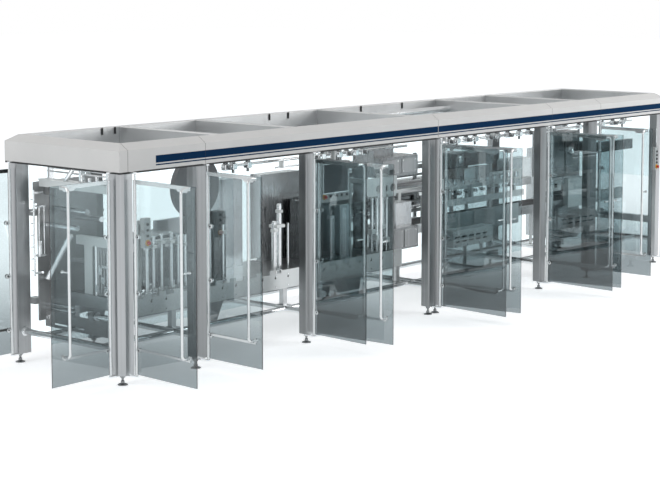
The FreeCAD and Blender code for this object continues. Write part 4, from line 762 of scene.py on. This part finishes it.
# Touch panel: grey powder-coated housing on a tube, with a dark glass screen in a raised
# bezel, four black push buttons and a red stop button on a yellow disc.
panel_grey = powder_coat("panel_grey", (0.50, 0.52, 0.52), 0.35)
for node in ("hmi_panel", "button_box", "button_strip"):
    dress(node, panel_grey)
SCREEN_LOW, SCREEN_HIGH = (2.915, 1.580), (3.310, 1.885)
screen_glass = powder_coat("screen_glass", (0.030, 0.042, 0.050), 0.06, 0.0)
button_black = powder_coat("button_black", (0.015, 0.015, 0.016), 0.3)
stop_red = powder_coat("stop_red", (0.55, 0.02, 0.015), 0.3)
stop_amber = powder_coat("stop_amber", (0.80, 0.42, 0.02), 0.4)
BEZEL_W, BEZEL_OUT = 0.014, -0.008
(x0, z0), (x1, z1) = SCREEN_LOW, SCREEN_HIGH
screen = block((x0, -0.004, z0), (x1, 0.0, z1), 0.0015)
assembled("touch_screen", [screen], screen_glass)
rim = [block((x0 - BEZEL_W, BEZEL_OUT, z0 - BEZEL_W), (x0, 0.0, z1 + BEZEL_W)),
       block((x1, BEZEL_OUT, z0 - BEZEL_W), (x1 + BEZEL_W, 0.0, z1 + BEZEL_W)),
       block((x0, BEZEL_OUT, z0 - BEZEL_W), (x1, 0.0, z0)),
       block((x0, BEZEL_OUT, z1), (x1, 0.0, z1 + BEZEL_W))]
assembled("screen_bezel", rim, door_metal)
BUTTON_Z = 1.541
BUTTON_PLACES = (3.029, 3.128, 3.211, 3.302)
buttons = [turned((x, 0.0, BUTTON_Z), (x, -0.012, BUTTON_Z), 0.030, 24, 0.003) for x in BUTTON_PLACES]
assembled("panel_buttons", buttons, button_black)


def stop_button(name, face, axis):
    """Emergency stop: a yellow disc with a mushroom-headed red cap."""
    face, axis = Vector(face), Vector(axis)
    disc = turned(face, face + axis * 0.004, 0.062, 28, 0.001)
    stem = turned(face + axis * 0.004, face + axis * 0.018, 0.028, 20)
    cap = turned(face + axis * 0.018, face + axis * 0.034, 0.040, 28, 0.006)
    assembled(name + "_disc", [disc], stop_amber)
    assembled(name + "_cap", [stem, cap], stop_red)


stop_button("panel_stop", (2.931, 0.0, BUTTON_Z), (0, -1, 0))

# Button box at the film end: three push buttons above a stop button, on the front face of a
# box that is powder-coated like the touch panel.
BOX_X, BOX_FRONT = 0.533, 0.200
stop_button("box_stop", (BOX_X, BOX_FRONT, 1.296), (0, -1, 0))
small = [turned((BOX_X, BOX_FRONT, z), (BOX_X, BOX_FRONT - 0.011, z), 0.028, 20, 0.003)
         for z in (1.365, 1.422, 1.478)]
assembled("box_buttons", small, button_black)

# Button strip on the right column: a column of push buttons over a stop button, with a wire
# loop handle above it.
STRIP_X, STRIP_Y = 9.632, -0.085
stop_button("strip_stop", (STRIP_X, STRIP_Y, 1.335), (0, -1, 0))
small = [turned((STRIP_X, STRIP_Y, z), (STRIP_X, STRIP_Y - 0.011, z), 0.030, 20, 0.003)
         for z in (1.39, 1.44, 1.49, 1.54)]
assembled("strip_buttons", small, button_black)
LOOP_X, LOOP_Y, LOOP_D = 9.640, -0.070, 0.014
loop = [turned((LOOP_X, LOOP_Y, 1.660), (LOOP_X, LOOP_Y, 1.860), LOOP_D, 16)]
loop += [turned((LOOP_X, LOOP_Y, z), (9.670, -0.050, z), LOOP_D, 16) for z in (1.667, 1.853)]
assembled("column_loop_handle", loop, door_metal)

# Sealing station: air cylinders between guide blocks stand on the deck and are held at the
# top by the bracket plate, beside three light upright plates.
CYLINDERS = ((4.115, 1.02), (4.205, 0.94), (4.300, 1.06), (4.375, 0.90))
CYLINDER_Y, CYLINDER_TOP = 0.330, 1.43
cylinders, joints = [], []
for x, low in CYLINDERS:
    cylinders.append(turned((x, CYLINDER_Y, low), (x, CYLINDER_Y, CYLINDER_TOP), 0.044, 24))
    cylinders.append(turned((x, CYLINDER_Y, DECK), (x, CYLINDER_Y, low), 0.018, 14))
    joints.append(block((x - 0.032, 0.298, low - 0.04), (x + 0.032, 0.362, low + 0.012), 0.003))
    joints.append(block((x - 0.030, 0.216, CYLINDER_TOP - 0.03),
                        (x + 0.030, 0.362, CYLINDER_TOP + 0.02), 0.003))
assembled("sealing_cylinders", cylinders, polished_steel)
assembled("cylinder_joints", joints, machined_plate)
uprights = [block((3.574, 0.330, DECK), (3.728, 0.345, 1.366), 0.002),
            block((4.425, 0.330, DECK), (4.520, 0.350, 1.688), 0.002),
            block((3.480, 0.380, DECK), (3.540, 0.400, 1.250), 0.002)]
assembled("guide_uprights", uprights, door_metal)

# Transfer section: a belt unit over the conveyor, with two rows of rollers between side
# plates.  Dark motor boxes with a hand knob and light covers are bolted to it.
ROLLER_PITCH = 0.16
rollers = [turned((x, 0.470, 1.40), (x, 0.530, 1.40), 0.070, 24)
           for x in (5.72 + ROLLER_PITCH * k for k in range(10))]
rollers += [turned((x, 0.450, 1.275), (x, 0.520, 1.275), 0.040, 20)
            for x in (5.80 + ROLLER_PITCH * k for k in range(9))]
assembled("belt_unit_rollers", rollers, polished_steel)
sides = [block((5.660, 0.500, 1.330), (7.300, 0.520, 1.460), 0.003),
         block((5.700, 0.455, 1.120), (7.300, 0.470, 1.200), 0.003)]
sides += [block((x, 0.470, 1.19), (x + 0.04, 0.520, 1.36), 0.002) for x in (5.75, 6.2, 6.65, 7.1)]
assembled("belt_unit_sides", sides, machined_plate)
boxes = [block((5.880, 0.520, 1.425), (6.200, 0.800, 1.750), 0.008),
         block((6.132, 0.500, 1.582), (6.700, 0.760, 1.735), 0.006),
         block((5.780, 0.400, 1.450), (5.930, 0.500, 1.760), 0.006)]
assembled("transfer_motor_boxes", boxes, dark_cabinet)
pale = [block((5.960, 0.400, 1.425), (6.470, 0.520, 1.570), 0.004),
        block((7.087, 0.480, 1.240), (7.490, 0.560, 1.335), 0.004),
        block((7.300, 0.700, 1.300), (7.790, 0.880, 1.555), 0.004)]
assembled("transfer_covers", pale, door_metal)
assembled("transfer_knob", [turned((5.820, 0.400, 1.700), (5.820, 0.340, 1.700), 0.090, 28, 0.010)],
          door_metal)

# Drive box: two rows of five ventilation slots in its front face, each drawn as a thin black
# plate whose black is painted shade inside the slot.  The box has the same blasted finish as the
# bed's front plate.
SLOT_SHADE_FRONT, SLOT_SHADE_BACK = 0.2285, 0.2305
SLOT_LENGTH, SLOT_HEIGHT, SLOT_PITCH = 0.090, 0.020, 0.138
slots = [block((x, SLOT_SHADE_FRONT, low), (x + SLOT_LENGTH, SLOT_SHADE_BACK, low + SLOT_HEIGHT), 0.0006)
         for low in (0.715, 0.770) for x in (5.560 + SLOT_PITCH * k for k in range(5))]
assembled("drive_box_slot_shades", slots, joint_black)

# Conveyor belt: dark woven belting with a fine cross grain.  It runs in a closed loop on the
# conveyor frame.
belt = steel("belt", (0.03, 0.033, 0.035), (0.07, 0.074, 0.077), 0.55, (300, 60, 300),
             bump=0.5, metallic=0.0, marks=0.2)
dress("conveyor_belt", belt)

# Long guide rails: thin chain and cable rails behind the stations, on small posts that are
# tied to the rear columns.  A round steel trunking and a terminal shelf run along them.
RUN_START, RUN_END = 4.000, 7.000
RAIL_Y, RAIL_D = 1.230, 0.030
COLUMN_FRONT = 1.490
RAIL_LEVELS = ((1.500, 0.055), (1.415, 0.028), (1.180, 0.070), (1.085, 0.030), (0.960, 0.045))
rail_back = RAIL_Y + RAIL_D
rails = [block((RUN_START, RAIL_Y, z), (RUN_END, rail_back, z + h), 0.003) for z, h in RAIL_LEVELS]
rails += [block((x, rail_back, 0.700), (x + 0.05, rail_back + 0.030, 1.700), 0.003)
          for x in (4.02, 5.30, 6.05, 6.82)]
rails += [block((x - 0.02, rail_back, z), (x + 0.02, COLUMN_FRONT, z + 0.05), 0.003)
          for x in (4.732, 6.981) for z in (1.080, 1.505)]
assembled("rear_guide_rails", rails, shaded_stainless)
trunking = [turned((3.980, 1.330, 1.270), (RUN_END, 1.330, 1.270), 0.230, 40, 0.004),
            block((3.980, 1.300, 1.000), (RUN_END, 1.345, 1.240), 0.004)]
assembled("rear_trunking", trunking, cabinet_steel)
rods = [turned((RUN_START, RAIL_Y - 0.015, z), (RUN_END, RAIL_Y - 0.015, z), 0.022, 14)
        for z in (1.585, 1.365, 1.045)]
assembled("rear_guide_rods", rods, polished_steel)
SHELF_Y, SHELF_LOW, SHELF_TOP = RAIL_Y - 0.12, 0.800, 0.816
shelf = [block((RUN_START, SHELF_Y, SHELF_LOW), (RUN_END, RAIL_Y + 0.032, SHELF_TOP), 0.002),
         block((RUN_START, SHELF_Y, SHELF_TOP), (RUN_END, RAIL_Y - 0.112, 0.880), 0.002)]
shelf += [block((x, RAIL_Y - 0.10, SHELF_TOP), (x + 0.14, RAIL_Y + 0.01, 0.900 + 0.02 * (k % 2)), 0.006)
          for k, x in enumerate((4.10, 4.42, 5.10, 5.42, 5.90, 6.30))]
assembled("rear_terminal_shelf", shelf, machined_plate)

# Station covers: thin light cover plates with round screw heads on the dark housings, and
# lever handles on the doors of the rear cabinets.
COVERS = ((4.500, 4.800, 1.600, 1.770, 0.500), (4.860, 5.120, 1.600, 1.770, 0.500),
          (4.520, 4.760, 0.740, 0.950, 0.400), (4.790, 5.020, 0.740, 0.950, 0.400),
          (3.440, 3.640, 0.780, 1.340, 0.520), (3.680, 3.920, 0.780, 1.340, 0.520),
          (8.290, 8.560, 1.270, 1.790, 0.700), (8.610, 8.900, 1.270, 1.790, 0.700))
COVER_T, STUD_INSET = 0.005, 0.02
plates, studs = [], []
for x0, x1, z0, z1, y in COVERS:
    plates.append(block((x0, y - COVER_T, z0), (x1, y, z1), 0.002))
    studs += [turned((x, y - COVER_T, z), (x, y - 0.009, z), 0.012, 12, 0.001)
              for x in (x0 + STUD_INSET, x1 - STUD_INSET) for z in (z0 + STUD_INSET, z1 - STUD_INSET)]
assembled("station_cover_plates", plates, shaded_stainless)
assembled("station_cover_screws", studs, polished_steel)
levers = []
for x, y, z in ((1.86, 1.080, 1.05), (2.38, 1.000, 1.25), (3.05, 1.000, 1.25), (3.55, 1.000, 1.25)):
    levers.append(block((x - 0.015, y - 0.004, z - 0.09), (x + 0.015, y, z + 0.09), 0.002))
    levers.append(block((x - 0.008, y - 0.026, z - 0.02), (x + 0.008, y - 0.004, z + 0.07), 0.003))
assembled("cabinet_levers", levers, dark_cabinet)

# End-bay header: a box beam with a short gas spring and a row of small air fittings, under
# the canopy at the film end.
header = [block((0.130, 0.350, 1.800), (0.190, 1.370, 1.868), 0.004),
          block((0.120, 0.350, 1.868), (0.240, 1.370, 1.880), 0.002)]
assembled("film_end_header", header, machined_plate)
spring = [turned((0.150, 0.980, 1.880), (0.150, 0.860, 2.010), 0.044, 20),
          turned((0.150, 0.860, 2.010), (0.150, 0.820, 2.055), 0.018, 14),
          turned((0.150, 0.980, 1.880), (0.150, 1.010, 1.850), 0.020, 14)]
for k in range(4):
    y, top = 0.42 + 0.11 * k, 1.935 + 0.02 * (k % 2)
    spring.append(turned((0.170, y, 1.880), (0.170, y, top), 0.034, 18))
spring += [turned((0.210, 0.380, 1.955), (0.210, 1.330, 1.955), 0.018, 14),
           turned((0.240, 0.380, 1.985), (0.240, 1.330, 1.985), 0.014, 14)]
spring += [block((0.195, y, 1.868), (0.255, y + 0.03, 2.000), 0.003) for y in (0.40, 0.80, 1.28)]
assembled("film_end_fittings", spring, polished_steel)

# Outfeed end: light cabinet and drive block on the conveyor's side, a ball knob on a stem
# and an upright delivery plate.
pale = [block((8.290, 0.440, 0.860), (8.640, 0.520, 1.250), 0.005),
        block((7.860, 0.430, 1.110), (8.110, 0.540, 1.240), 0.005),
        block((7.940, 0.500, 0.940), (8.030, 0.520, 1.115), 0.003),
        block((8.800, 0.470, 0.900), (9.680, 0.520, 1.010), 0.003)]
assembled("outfeed_covers", pale, machined_plate)
port = block((7.950, 0.4285, 1.150), (8.020, 0.431, 1.205), 0.001)
assembled("drive_block_port", [port], joint_black)
BALL_X, BALL_Z, BALL_R = 8.450, 1.602, 0.052
knob = [turned((BALL_X, 0.700, BALL_Z), (BALL_X, 0.560, BALL_Z), 0.022, 14)]
bpy.ops.object.select_all(action="DESELECT")
bpy.ops.mesh.primitive_uv_sphere_add(segments=28, ring_count=16, radius=BALL_R,
                                     location=(BALL_X, 0.520, BALL_Z))
bpy.ops.object.transform_apply(location=True, rotation=True, scale=True)
bpy.ops.object.shade_smooth()
knob.append(bpy.context.object)
assembled("outfeed_ball_knob", knob, polished_steel)
delivery = block((7.830, 0.400, 0.470), (8.300, 0.412, 0.590), 0.002)
assembled("delivery_plate", [delivery], door_metal)
